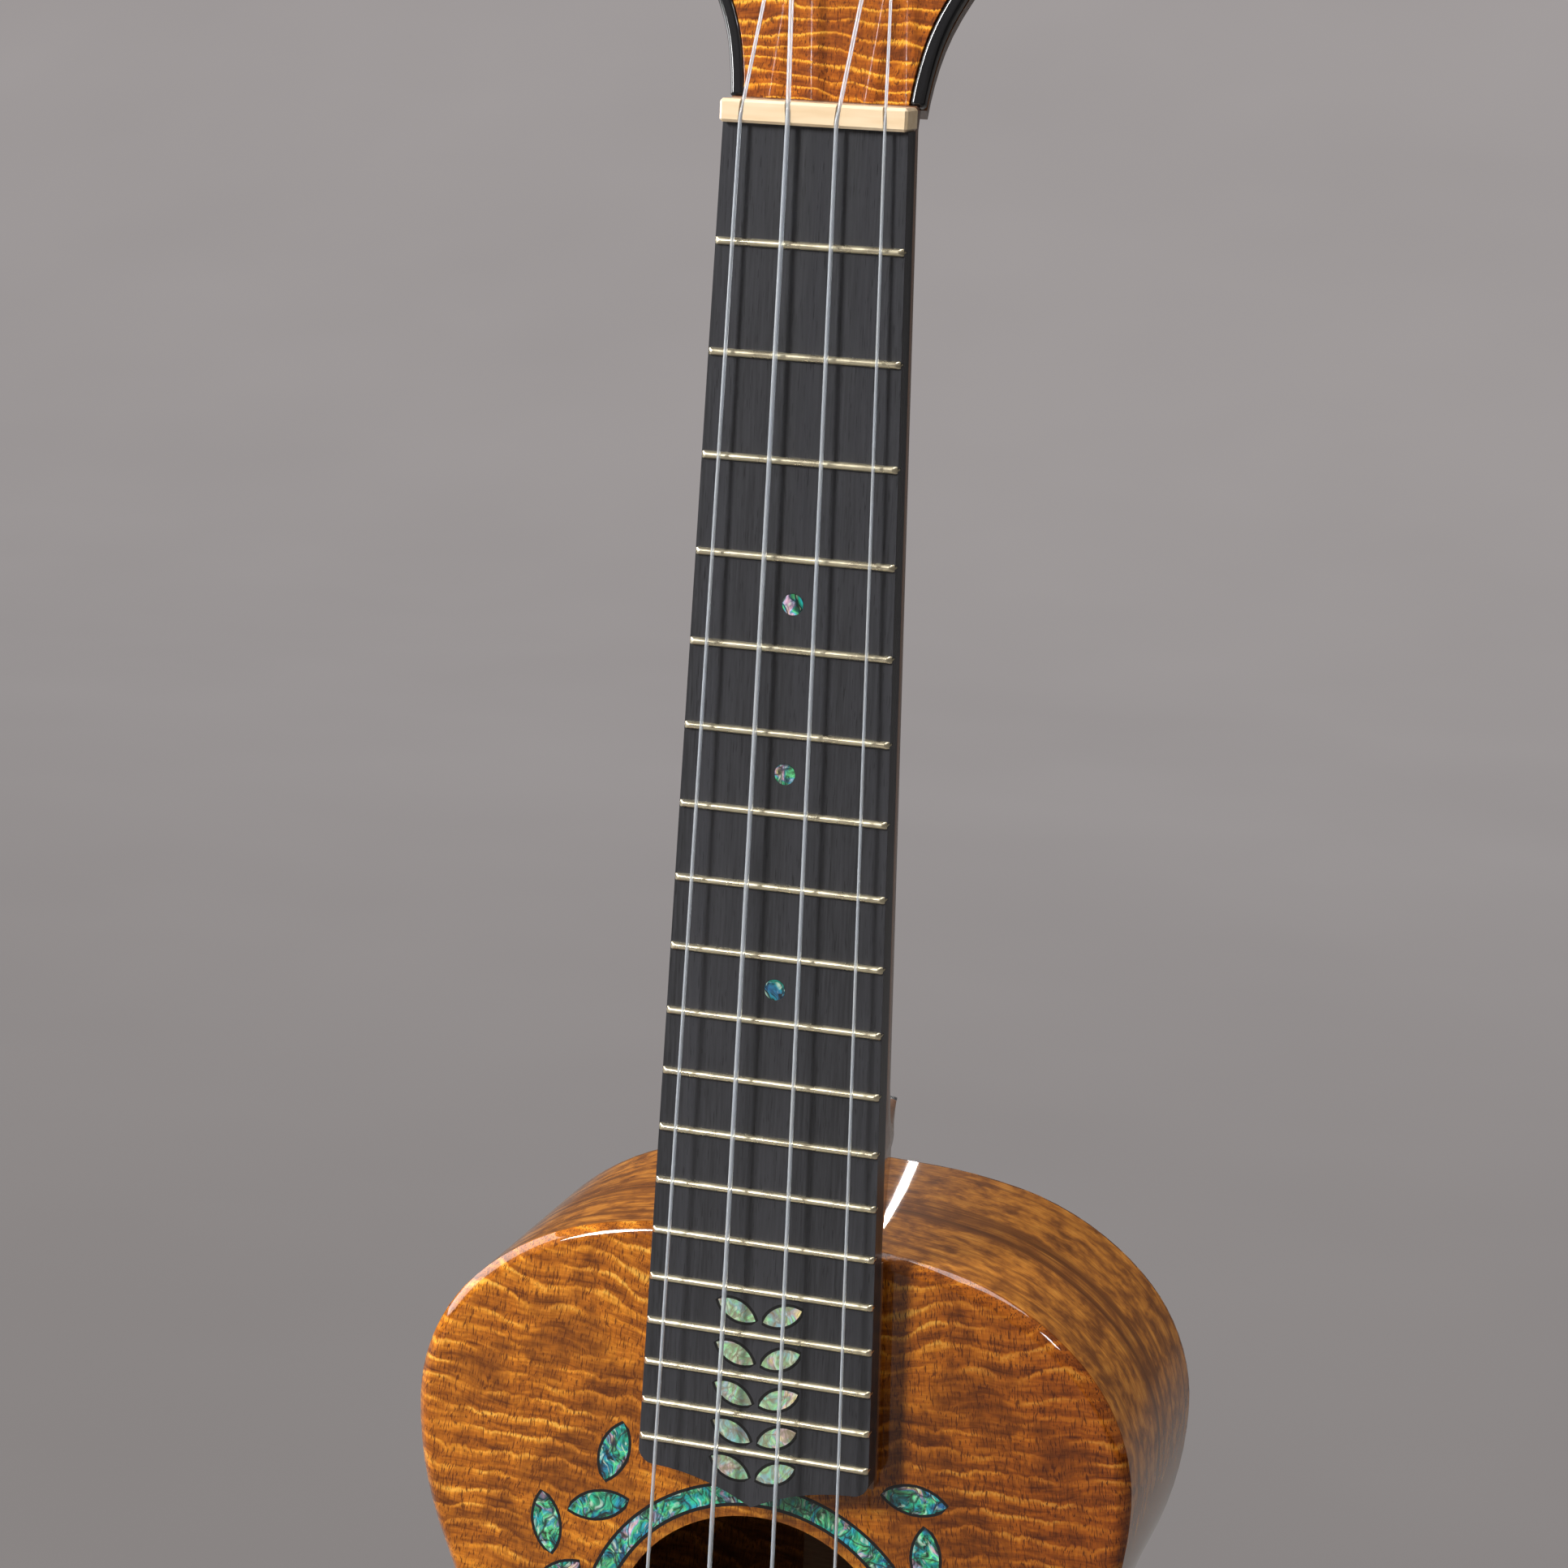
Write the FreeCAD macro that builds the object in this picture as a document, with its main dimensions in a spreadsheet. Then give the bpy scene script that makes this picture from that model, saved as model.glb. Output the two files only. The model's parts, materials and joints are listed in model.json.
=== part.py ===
"""Concert ukulele in koa with open-geared tuners, built piece by piece as a luthier would.

Frame: +X to the treble side, +Y from the soundboard to the back, +Z from the tail up the neck.
The origin is on the ground plane of the tail end, midway through the depth. All sizes are millimetres.
"""
import FreeCAD, Part
import math
import os
import re

import Sketcher
from FreeCAD import Placement, Rotation, Vector

# Driving dimensions: a name, its size and what it is
SIZES = [
    ("scale_length", 381.0, "nut to the uncompensated saddle"),
    ("fret_count", 19, "frets"),
    ("join_dist", 212.0, "nut to the top end of the body"),
    ("body_len", 285.0, "body, top end to tail"),
    ("upper_half", 73.0, "half width of the upper bout"),
    ("waist_half", 60.0, "half width of the waist"),
    ("lower_half", 98.5, "half width of the lower bout"),
    ("upper_dist", 44.7, "body top to the widest place of the upper bout"),
    ("waist_dist", 106.6, "body top to the waist"),
    ("lower_dist", 203.0, "body top to the widest place of the lower bout"),
    ("shoulder_half", 35.2, "half width where the flat top end turns into the shoulder"),
    ("shoulder_drop", 2.9, "drop of the outline at that place"),
    ("shoulder_angle", 12.7, "slope of the outline at that place, degrees"),
    ("deep_top", 59.5, "body depth at the neck, outside"),
    ("deep_tail", 67.0, "body depth at the tail, outside"),
    ("top_thick", 2.2, "soundboard"),
    ("back_thick", 2.2, "back plate"),
    ("rib_thick", 2.0, "ribs"),
    ("edge_bevel", 1.7, "bevel of the plates' outer edges"),
    ("glue_gap", 0.05, "clearance between curved glued faces"),
    ("slip_gap", 0.3, "clearance between a moving piece and its neighbour"),
    ("run_gap", 0.06, "radial clearance of a shaft in its bearing"),
    ("overrun", 2.0, "how far a cutter reaches past the wood"),
    ("lining_wide", 5.0, "linings, inward from the rib"),
    ("lining_tall", 7.0, "linings, along the rib"),
    ("hole_dist", 300.1, "nut to the centre of the soundhole"),
    ("hole_rad", 29.9, "soundhole inside its ring"),
    ("ring_rad", 32.0, "outside of the soundhole ring"),
    ("inlay_deep", 1.0, "depth of the shell inlays"),
    ("line_wide", 0.6, "black line round the rosette's shell pieces"),
    ("band_wide", 3.8, "shell band of the rosette"),
    ("hole_patch_half", 42.0, "half width of the square patch behind the soundhole"),
    ("patch_thick", 1.5, "soundhole and bridge reinforcement"),
    ("board_half_nut", 17.4, "half width of the fingerboard at the nut"),
    ("board_half_end", 23.45, "half width of the fingerboard at its end"),
    ("board_end_dist", 259.5, "nut to the fingerboard's end corners"),
    ("board_tip_dist", 265.2, "nut to the point of the fingerboard's end"),
    ("board_corner", 3.5, "rounding of the fingerboard's end corners"),
    ("board_thick", 5.0, "fingerboard"),
    ("riser_thick", 2.2, "wedge between the fingerboard and the soundboard"),
    ("fret_tall", 1.0, "fret crown above the board"),
    ("fret_wide", 1.5, "fret crown"),
    ("fret_bevel", 0.9, "slope at the ends of a fret crown"),
    ("tang_thick", 0.5, "fret tang"),
    ("tang_deep", 1.5, "fret tang below the board's face"),
    ("slot_gap", 0.02, "clearance of a fret tang in its slot, each side"),
    ("dot_rad", 2.0, "position dot"),
    ("side_dot_rad", 0.9, "side dot"),
    ("nut_thick", 4.2, "nut, along the strings"),
    ("nut_over", 0.9, "nut above the fret tops"),
    ("nut_bevel", 0.5, "bevel of the nut's upper edges"),
    ("nut_proud", 0.2, "nut past the fingerboard, each side"),
    ("open_action", 0.5, "string underside above the fret tops at the nut"),
    ("action_twelve", 2.4, "string underside above the fret tops at fret 12"),
    ("string_g_dia", 0.70, "G string"),
    ("string_c_dia", 0.92, "C string"),
    ("string_e_dia", 0.80, "E string"),
    ("string_a_dia", 0.62, "A string"),
    ("nut_outer", 13.55, "outer strings at the nut, from the middle"),
    ("nut_inner", 4.55, "inner strings at the nut, from the middle"),
    ("saddle_outer", 21.0, "outer strings at the saddle, from the middle"),
    ("saddle_inner", 7.0, "inner strings at the saddle, from the middle"),
    ("string_gap", 0.08, "clearance under a string at the nut and saddle"),
    ("saddle_bend", 2.0, "radius of a string's bend over the saddle and into its slot"),
    ("nut_bend", 6.0, "radius of a string's bend over the nut"),
    ("neck_deep_nut", 14.5, "neck behind the fingerboard at the nut"),
    ("neck_deep_heel", 17.0, "neck behind the fingerboard before the heel"),
    ("neck_inset", 0.3, "neck inside the fingerboard's edge, each side"),
    ("heel_start", 172.0, "nut to where the heel begins"),
    ("heel_lean", 13.7, "lean of the heel's sides towards its back, degrees"),
    ("heel_deep", 80.0, "heel behind the fingerboard, were its end not cut flat for the cap"),
    ("cap_thick", 2.5, "heel cap"),
    ("cap_inset", 1.0, "heel cap inside the back plate's face"),
    ("block_wide", 56.0, "neck block"),
    ("block_thick", 20.0, "neck block, along the body"),
    ("tail_block_wide", 50.0, "tail block"),
    ("tail_block_thick", 12.0, "tail block, along the body"),
    ("graft_thick", 1.2, "end graft let into the ribs at the tail"),
    ("graft_top_half", 8.0, "half width of the end graft at the soundboard"),
    ("graft_back_half", 5.0, "half width of the end graft at the back"),
    ("upper_brace_up", 52.0, "soundhole's centre to the brace above it"),
    ("lower_brace_down", 47.0, "soundhole's centre to the brace below it"),
    ("brace_wide", 6.0, "transverse braces"),
    ("brace_tall", 9.0, "transverse braces"),
    ("brace_full_half", 36.0, "half length at which a transverse brace begins to thin out"),
    ("fan_wide", 4.5, "fan braces"),
    ("fan_tall", 5.0, "fan braces"),
    ("fan_len", 70.0, "fan braces"),
    ("fan_spread", 26.0, "outer fan braces from the middle one"),
    ("fan_angle", 12.0, "outer fan braces from the middle line, degrees"),
    ("patch_half", 50.0, "half length of the bridge patch"),
    ("patch_tall", 34.0, "bridge patch, along the body"),
    ("strip_wide", 14.0, "strip along the back's centre joint"),
    ("strip_thick", 2.0, "strip along the back's centre joint"),
    ("bridge_half", 43.0, "half length of the bridge"),
    ("bridge_near", 9.0, "bridge in front of the saddle line"),
    ("bridge_far", 15.0, "bridge behind the saddle line"),
    ("bridge_corner", 3.0, "corners of the bridge"),
    ("bridge_tall", 8.0, "bridge at the saddle"),
    ("wing_tall", 4.0, "bridge at its wings"),
    ("shelf_tall", 3.6, "shelf behind the string slots"),
    ("bridge_mid_half", 33.0, "half length of the bridge's tall middle"),
    ("bridge_scoop", 6.0, "length of the scoop from the middle to a wing"),
    ("saddle_set", 1.4, "saddle behind the scale line, for compensation"),
    ("saddle_thick", 3.0, "saddle"),
    ("saddle_half", 28.0, "half length of the saddle"),
    ("saddle_deep", 4.5, "saddle below the bridge's face"),
    ("crown_drop", 0.8, "fall of the saddle's crown at its edges"),
    ("wall_near", 7.4, "scale line to the front of the wall that holds the strings"),
    ("wall_thick", 3.0, "wall that holds the strings"),
    ("string_low", 5.4, "string above the soundboard in its bridge slot"),
    ("knot_rad", 1.5, "knot at a string's end"),
    ("head_tilt", 12.0, "headstock back from the neck, degrees"),
    ("head_drop", 7.0, "headstock face below the fret tops at the nut"),
    ("head_len", 118.0, "headstock, nut to its top"),
    ("head_thick", 13.5, "headstock with its veneer"),
    ("veneer_thick", 1.5, "headstock veneer"),
    ("binding_wide", 2.7, "headstock binding"),
    ("binding_deep", 3.0, "headstock binding"),
    ("head_back_inset", 2.6, "headstock's back inside its face, each side"),
    ("head_foot_half", 18.3, "half width of the headstock at the nut"),
    ("head_flare_half", 22.5, "half width of the headstock low on its flare"),
    ("head_flare_up", 17.4, "height of that place above the nut"),
    ("head_turn_half", 27.2, "half width where the flare turns"),
    ("head_turn_up", 25.5, "height of that place above the nut"),
    ("head_low_half", 31.5, "half width above the flare"),
    ("head_low_up", 39.0, "height of that place above the nut"),
    ("head_waist_half", 30.2, "half width between the tuners"),
    ("head_waist_up", 66.0, "height of that place above the nut"),
    ("head_high_half", 31.6, "half width near the top"),
    ("head_high_up", 98.0, "height of that place above the nut"),
    ("head_corner_half", 21.0, "half width where the top begins"),
    ("head_corner_up", 113.0, "height of that place above the nut"),
    ("post_low_half", 13.2, "lower string posts from the middle"),
    ("post_low_up", 38.0, "lower string posts above the nut"),
    ("post_high_half", 14.8, "upper string posts from the middle"),
    ("post_high_up", 74.0, "upper string posts above the nut"),
    ("post_rad", 3.0, "string post"),
    ("post_drum_rad", 2.7, "waist of the string post, where the string winds"),
    ("post_over", 12.0, "string post above the headstock's face"),
    ("post_hole_rad", 0.9, "string hole through a post"),
    ("coil_start", 4.2, "first turn above the headstock's face"),
    ("coil_turns", 2.0, "turns on a post"),
    ("coil_step", 1.45, "rise of one turn"),
    ("bush_flange_rad", 4.8, "bushing's flange"),
    ("bush_flange_thick", 1.2, "bushing's flange"),
    ("bush_rad", 4.0, "bushing's sleeve"),
    ("bush_deep", 6.0, "bushing's sleeve"),
    ("plate_thick", 1.2, "tuner plate"),
    ("plate_half", 7.0, "half width of a tuner plate"),
    ("plate_up", 8.5, "tuner plate above its post"),
    ("plate_down", 13.2, "tuner plate below its post"),
    ("plate_corner", 2.0, "corners of a tuner plate"),
    ("ear_tall", 6.0, "ears of a tuner plate, behind it"),
    ("ear_wide", 5.6, "ears of a tuner plate, along the headstock"),
    ("tooth_count", 14, "gear teeth, and turns of the button for one of the post"),
    ("worm_pitch", 2.0, "worm thread, one turn"),
    ("worm_rad", 2.2, "worm at its pitch line"),
    ("thread_add", 0.55, "thread and tooth outside the pitch line"),
    ("thread_sub", 0.85, "thread and tooth inside the pitch line"),
    ("thread_thick", 0.58, "thread and tooth at the pitch line"),
    ("thread_slope", 0.36, "sideways slope of a thread flank, per unit of depth"),
    ("worm_half", 4.6, "half length of the threaded part"),
    ("gear_thick", 2.6, "gear"),
    ("gear_bore_rad", 1.6, "gear bore on the post's tail"),
    ("shaft_rad", 1.3, "worm shaft"),
    ("shaft_out", 22.5, "worm shaft, from its middle to the button's end"),
    ("button_start", 21.0, "worm's middle to the button"),
    ("button_len", 15.0, "button along its shaft"),
    ("button_half", 5.6, "half width of a button"),
    ("button_thick", 6.4, "button"),
    ("collar_rad", 2.4, "collar between the shaft and the button"),
    ("collar_len", 2.0, "collar between the shaft and the button"),
    ("stop_rad", 1.9, "stops of the worm shaft outside the plate's ears"),
    ("screw_rad", 1.6, "head of a tuner screw"),
    ("screw_tall", 1.0, "head of a tuner screw"),
    ("screw_shank_rad", 0.9, "shank of a tuner screw"),
    ("screw_shank_len", 8.0, "shank of a tuner screw"),
    ("screw_up", 6.2, "upper tuner screw above its post"),
    ("screw_down", 10.7, "lower tuner screw below its post"),
]

document = FreeCAD.newDocument("concert_ukulele")
sheet = document.addObject("Spreadsheet::Sheet", "Sizes")
for row, (alias, amount, note) in enumerate(SIZES, 1):
    sheet.set(f"A{row}", note)
    sheet.set(f"B{row}", str(amount))
    sheet.setAlias(f"B{row}", alias)
document.recompute()

# Flat sides of a small turned piece: it looks round, and the many alike ones stay light
ROUND_SIDES = 16

# Places worked out from the sheet, in the order in which they depend on each other
PLACES = [
    ("nut_z", "body_len + join_dist"),
    ("hole_z", "nut_z - hole_dist"),
    ("saddle_z", "nut_z - scale_length"),
    ("back_slope", "(deep_tail - deep_top) / body_len"),
    ("fret_rise", "riser_thick + board_thick + fret_tall"),
    ("saddle_rise", "fret_rise + 2 * action_twelve - open_action"),
    ("front_rise", "saddle_rise + string_gap + string_c_dia"),
    ("face_y", "(front_rise - deep_tail + back_slope * edge_bevel) / 2"),
    ("board_y", "face_y - riser_thick"),
    ("fret_y", "face_y - fret_rise"),
    ("board_slope", "(board_half_end - board_half_nut) / board_end_dist"),
    ("head_y", "fret_y + head_drop"),
    ("head_z", "nut_z + nut_thick"),
    ("gear_rad", "tooth_count * worm_pitch / (2 * pi)"),
    ("mesh_dist", "gear_rad + worm_rad"),
    ("worm_outer", "worm_rad + thread_add"),
    ("worm_root", "worm_rad - thread_sub"),
    ("worm_y", "head_thick + plate_thick + slip_gap + worm_outer"),
    ("ear_near", "worm_half + slip_gap"),
    ("post_end_y", "worm_y + gear_thick / 2"),
    ("corner_share", f"1 / cos(180 / {ROUND_SIDES})"),
]
places = document.addObject("App::VarSet", "Places")
PLACE_NAMES = {name for name, formula in PLACES}


def formula_of(text):
    """The text with each name led by the object that holds it, as expressions need."""
    def lead(match):
        word = match.group(0)
        if word == "pi":
            return word
        return ("Places." if word in PLACE_NAMES else "Sizes.") + word
    return re.sub(r"\b[a-z][a-z_]*\b(?!\()", lead, text)


for name, formula in PLACES:
    places.addProperty("App::PropertyFloat", name)
    places.setExpression(name, formula_of(formula))
    document.recompute()


class Named:
    """Reads a size or a place by its name, as a plain number."""

    def __getattr__(self, name):
        return float(getattr(places, name)) if name in PLACE_NAMES else float(sheet.get(name))


V = Named()
nodes = {}


def bind(item, **formulas):
    """Ties properties to formulas; a double underscore in a name stands for a dot."""
    for name, formula in formulas.items():
        item.setExpression(name.replace("__", "."), formula_of(formula))


def keep(label, item):
    """Names a finished piece."""
    item.Label = label
    nodes[label] = item
    return item


# Outlines made of arcs that meet smoothly
def biarc(start, start_dir, end, end_dir):
    """Two arcs in space from start to end with the given directions, each as start, middle, end."""
    chord = end - start
    both = start_dir + end_dir
    spread = 2 * (1 - start_dir.dot(end_dir))
    along = chord.dot(both)
    if spread < 1e-9:
        reach = chord.dot(chord) / (2 * along)
    else:
        reach = (math.sqrt(along * along + spread * chord.dot(chord)) - along) / spread
    corners = (start + start_dir * reach, end - end_dir * reach)
    joint = (corners[0] + corners[1]) / 2
    arcs = []
    for near, corner, far in ((start, corners[0], joint), (joint, corners[1], end)):
        base = (near + far) / 2
        height = (corner - base).Length
        half = (far - near).Length / 2
        bend = math.atan2(height, half)
        lift = (corner - base) * (half * math.tan(bend / 2) / height) if height > 1e-9 else Vector()
        arcs.append((near, base + lift, far))
    return arcs


def chain(stations):
    """Arcs through stations, each a flat place and the outline's heading there in degrees."""
    arcs = []
    for (x0, y0, a0), (x1, y1, a1) in zip(stations, stations[1:]):
        heading = [Vector(math.cos(math.radians(a)), math.sin(math.radians(a)), 0) for a in (a0, a1)]
        arcs += biarc(Vector(x0, y0, 0), heading[0], Vector(x1, y1, 0), heading[1])
    return arcs


def circle_of(arc):
    """The circle on which an arc's three points lie."""
    return Part.Arc(*arc).toShape().Curve


def inset(arcs, depth):
    """The same flat arcs moved by depth to their left, about the same centres."""
    moved = []
    for near, middle, far in arcs:
        centre = circle_of((near, middle, far)).Center
        left = Vector(0, 0, 1).cross(far - near).normalize()
        side = 1 if (centre - middle).dot(left) > 0 else -1
        moved.append(tuple(p + (centre - p).normalize() * (side * depth) for p in (near, middle, far)))
    return moved


def mirrored(arcs):
    """The flat arcs on the other side of the middle line, in their own order."""
    return [tuple(Vector(-p.x, p.y, 0) for p in reversed(arc)) for arc in reversed(arcs)]


def half_body():
    """Right half of the body's outline, from the middle of its top end round to the tail."""
    top = V.body_len
    return chain([
        (0, top, 0),
        (V.shoulder_half, top - V.shoulder_drop, -V.shoulder_angle),
        (V.upper_half, top - V.upper_dist, -90),
        (V.waist_half, top - V.waist_dist, -90),
        (V.lower_half, top - V.lower_dist, -90),
        (0, 0, -180),
    ])


def body_outline(depth=0.0):
    """Whole outline of the body, inset by depth."""
    half = inset(half_body(), -depth)
    return half + mirrored(half)


def half_head():
    """Right half of the headstock's outline, from the nut up to the middle of its top."""
    return chain([
        (V.head_foot_half, 0, 86),
        (V.head_flare_half, V.head_flare_up, 64),
        (V.head_turn_half, V.head_turn_up, 55),
        (V.head_low_half, V.head_low_up, 90),
        (V.head_waist_half, V.head_waist_up, 90),
        (V.head_high_half, V.head_high_up, 90),
        (V.head_corner_half, V.head_corner_up, 160),
        (0, V.head_len, 180),
    ])


def head_outline(depth=0.0):
    """Outline of the headstock, inset by depth except along the nut."""
    half = inset(half_head(), depth)
    foot = half[0][0]
    left = mirrored(half)
    base = [(left[-1][-1], foot)]
    return half + left + base


# Sketches and the features made from them
def plane_of(body, role):
    return next(f for f in body.Origin.OriginFeatures if f.Role == role)


def blank_body(name):
    """Body of a form that is cut further before it is a piece."""
    return document.addObject("PartDesign::Body", name)


def new_body(label):
    return keep(label, blank_body(label))


def new_sketch(body, role, name, lift="0"):
    """Empty sketch on one of the body's own planes, lifted along the plane's normal."""
    sketch = body.newObject("Sketcher::SketchObject", name)
    sketch.AttachmentSupport = [(plane_of(body, role), "")]
    sketch.MapMode = "FlatFace"
    bind(sketch, AttachmentOffset__Base__z=lift)
    return sketch


def draw(sketch, arcs):
    """Adds flat arcs, each three points, and lines, each two points."""
    for piece in arcs:
        if len(piece) == 2:
            sketch.addGeometry(Part.LineSegment(*piece))
        else:
            sketch.addGeometry(Part.Arc(*piece))


def draw_polygon(sketch, corners):
    """Adds a closed polygon whose corners are pairs of formulas, each held by its own sizes."""
    first = sketch.GeometryCount
    count = len(corners)
    turns = [2 * math.pi * k / count for k in range(count + 1)]
    ring = [Vector(10 * math.cos(turn), 10 * math.sin(turn), 0) for turn in turns]
    for k in range(count):
        sketch.addGeometry(Part.LineSegment(ring[k], ring[k + 1]))
    for k in range(count):
        sketch.addConstraint(Sketcher.Constraint("Coincident", first + k, 2, first + (k + 1) % count, 1))
    for k, pair in enumerate(corners):
        for kind, place, formula in zip(("DistanceX", "DistanceY"), ring[k], pair):
            index = sketch.addConstraint(Sketcher.Constraint(kind, first + k, 1, place))
            sketch.setExpression(f"Constraints[{index}]", formula_of(formula))


def draw_circle(sketch, x, y, radius):
    """Adds a circle whose centre and radius are formulas."""
    circle = sketch.addGeometry(Part.Circle(Vector(1, 1, 0), Vector(0, 0, 1), 5))
    for kind, formula in (("DistanceX", x), ("DistanceY", y)):
        index = sketch.addConstraint(Sketcher.Constraint(kind, circle, 3, 1.0))
        sketch.setExpression(f"Constraints[{index}]", formula_of(formula))
    index = sketch.addConstraint(Sketcher.Constraint("Radius", circle, 5.0))
    sketch.setExpression(f"Constraints[{index}]", formula_of(radius))


def pad(body, sketch, length, middle=False):
    feature = body.newObject("PartDesign::Pad", sketch.Name + "_pad")
    feature.Profile = sketch
    feature.Midplane = middle
    bind(feature, Length=length)
    return feature


def pocket(body, sketch, length, middle=False, reverse=False):
    feature = body.newObject("PartDesign::Pocket", sketch.Name + "_pocket")
    feature.Profile = sketch
    feature.Midplane = middle
    feature.Reversed = reverse
    bind(feature, Length=length)
    return feature


def fillet(body, feature, edges, radius):
    """Rounds the feature's edges that are numbered in edges."""
    rounding = body.newObject("PartDesign::Fillet", feature.Name + "_round")
    rounding.Base = (feature, [f"Edge{k}" for k in edges])
    bind(rounding, Radius=radius)
    return rounding


def chamfer(body, feature, edges, size):
    """Bevels the feature's edges that are numbered in edges."""
    bevel = body.newObject("PartDesign::Chamfer", feature.Name + "_bevel")
    bevel.Base = (feature, [f"Edge{k}" for k in edges])
    bind(bevel, Size=size)
    return bevel


def edges_where(feature, test):
    """Numbers of the feature's edges whose bounding box passes the test."""
    document.recompute()
    return [k for k, edge in enumerate(feature.Shape.Edges, 1) if test(edge.BoundBox)]


def extruded(label, role, arcs_or_draw, lift, length, reverse=False):
    """A piece padded from one sketch: arcs as numbers, or a function that draws with formulas."""
    body = new_body(label)
    sketch = new_sketch(body, role, label + "_sketch", lift)
    if callable(arcs_or_draw):
        arcs_or_draw(sketch)
    else:
        draw(sketch, arcs_or_draw)
    feature = pad(body, sketch, length)
    feature.Reversed = reverse
    return body


def group(label, shapes):
    """Several like solids as one piece."""
    item = document.addObject("Part::Feature", label)
    item.Shape = Part.makeCompound(shapes)
    return keep(label, item)


def on_head(item):
    """Places a piece that is drawn on the upright headstock where the headstock leans."""
    item.Placement = Placement(Vector(), Rotation(Vector(-1, 0, 0), 1))
    bind(item, Placement__Base__y="head_y", Placement__Base__z="head_z",
         Placement__Rotation__Angle="head_tilt")
    return item


def head_placement():
    return Placement(Vector(0, V.head_y, V.head_z), Rotation(Vector(-1, 0, 0), V.head_tilt))


# Body shell
def box_at(name, x_half, y, y_len, z, z_len):
    """Block centred across the body, its place and size as formulas."""
    block = document.addObject("Part::Box", name)
    bind(block, Length=f"2 * ({x_half})", Width=y_len, Height=z_len,
         Placement__Base__x=f"-({x_half})", Placement__Base__y=y, Placement__Base__z=z)
    return block


def joined(name, *parts):
    """The parts as one form."""
    item = document.addObject("Part::MultiFuse", name)
    item.Shapes = list(parts)
    return item


def without(name, base, tool):
    """A form with another cut out of it."""
    item = document.addObject("Part::Cut", name)
    item.Base = base
    item.Tool = tool
    return item


def common(label, *parts):
    item = document.addObject("Part::MultiCommon", label)
    item.Shapes = list(parts)
    return keep(label, item)


def cut(label, base, tool):
    return keep(label, without(label, base, tool))


def prism(name, start, end, radius, sides=ROUND_SIDES):
    """Many-sided rod along the Y axis from start to end, with the radius to its corners."""
    rod = document.addObject("Part::Prism", name)
    rod.Polygon = sides
    rod.Placement = Placement(Vector(), Rotation(Vector(-1, 0, 0), 90))
    bind(rod, Circumradius=radius, Height=f"({end}) - ({start})", Placement__Base__y=start)
    return rod


def turned(name, *runs):
    """Piece turned about the Y axis: each run is a start, an end and a radius."""
    return joined(name, *[prism(f"{name}_{k}", *run) for k, run in enumerate(runs)])


def ring_about(centre, way, radius, sides=ROUND_SIDES):
    """Closed ring of corners about a centre, square to a direction."""
    across = Vector(0, 1, 0) if abs(way.y) < abs(way.z) + abs(way.x) else Vector(1, 0, 0)
    across = (across - way * (across.dot(way) / way.dot(way))).normalize() * radius
    return [centre + Rotation(way, 360 * k / sides).multVec(across) for k in range(sides + 1)]


def rod(start, way, radius, sides=ROUND_SIDES):
    """Many-sided rod from start to start + way."""
    return Part.Face(Part.makePolygon(ring_about(start, way, radius, sides))).extrude(way)


def helper(name, shape):
    """A form that other pieces are cut to and that isn't a piece itself."""
    item = document.addObject("Part::Feature", name)
    item.Shape = shape
    return item


def flat_solids(outlines, y, thick):
    """Solids with the given outlines in the front view, from y towards the back."""
    solids = []
    for outline in outlines:
        edges = [Part.Arc(*arc).toShape() if len(arc) == 3 else Part.makeLine(*arc) for arc in outline]
        face = Part.Face(Part.Wire(Part.__sortEdges__(edges)))
        face.rotate(Vector(), Vector(1, 0, 0), 90)
        face.translate(Vector(0, y, 0))
        solids.append(face.extrude(Vector(0, thick, 0)))
    return solids


def slab(near, far):
    """Everything between two depths measured from the back's outside towards the front."""
    reach = V.lower_half + V.overrun
    base = V.body_len + V.overrun
    lift = V.back_slope * V.overrun
    corners = []
    for depth, z, outside in ((near, -V.overrun, V.deep_tail + lift), (near, base, V.deep_top - lift),
                              (far, base, V.deep_top - lift), (far, -V.overrun, V.deep_tail + lift)):
        corners.append(Vector(-reach, V.face_y + outside - depth, z))
    face = Part.Face(Part.makePolygon(corners + corners[:1]))
    return face.extrude(Vector(2 * reach, 0, 0))


def cavity(depth):
    """The room inside the body, from the soundboard to the back, inset by depth from the outline."""
    prism = flat_solids([body_outline(depth)], V.face_y + V.top_thick, V.deep_tail)[0]
    return prism.common(slab(V.back_thick, V.deep_tail + V.overrun))


def half_strip(outer, inner, top_x, tail_x):
    """Right half of a strip along the body's outline, from top_x round to tail_x."""
    out = cropped(inset(half_body(), -outer), top_x, tail_x)
    within = cropped(inset(half_body(), -inner), top_x, tail_x)
    back = [tuple(reversed(arc)) for arc in reversed(within)]
    return out + [(out[-1][-1], back[0][0])] + back + [(back[-1][-1], out[0][0])]


def cropped(arcs, top_x, tail_x):
    """The arcs of a half outline without what lies nearer to the middle line than the two ends."""
    kept = list(arcs)
    while kept[0][2].x < top_x:
        kept.pop(0)
    while kept[-1][0].x < tail_x:
        kept.pop()
    kept[0] = shortened(kept[0], 0, top_x)
    kept[-1] = shortened(kept[-1], 2, tail_x)
    return kept


def shortened(arc, end, x):
    """A flat arc whose given end is moved along it to x."""
    circle = circle_of(arc)
    ends = list(arc)
    rise = math.sqrt(circle.Radius ** 2 - (x - circle.Center.x) ** 2)
    ends[end] = Vector(x, circle.Center.y + math.copysign(rise, arc[end].y - circle.Center.y), 0)
    middle = (ends[0] + ends[2]) / 2 - circle.Center
    ends[1] = circle.Center + middle.normalize() * circle.Radius
    return tuple(ends)


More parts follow.
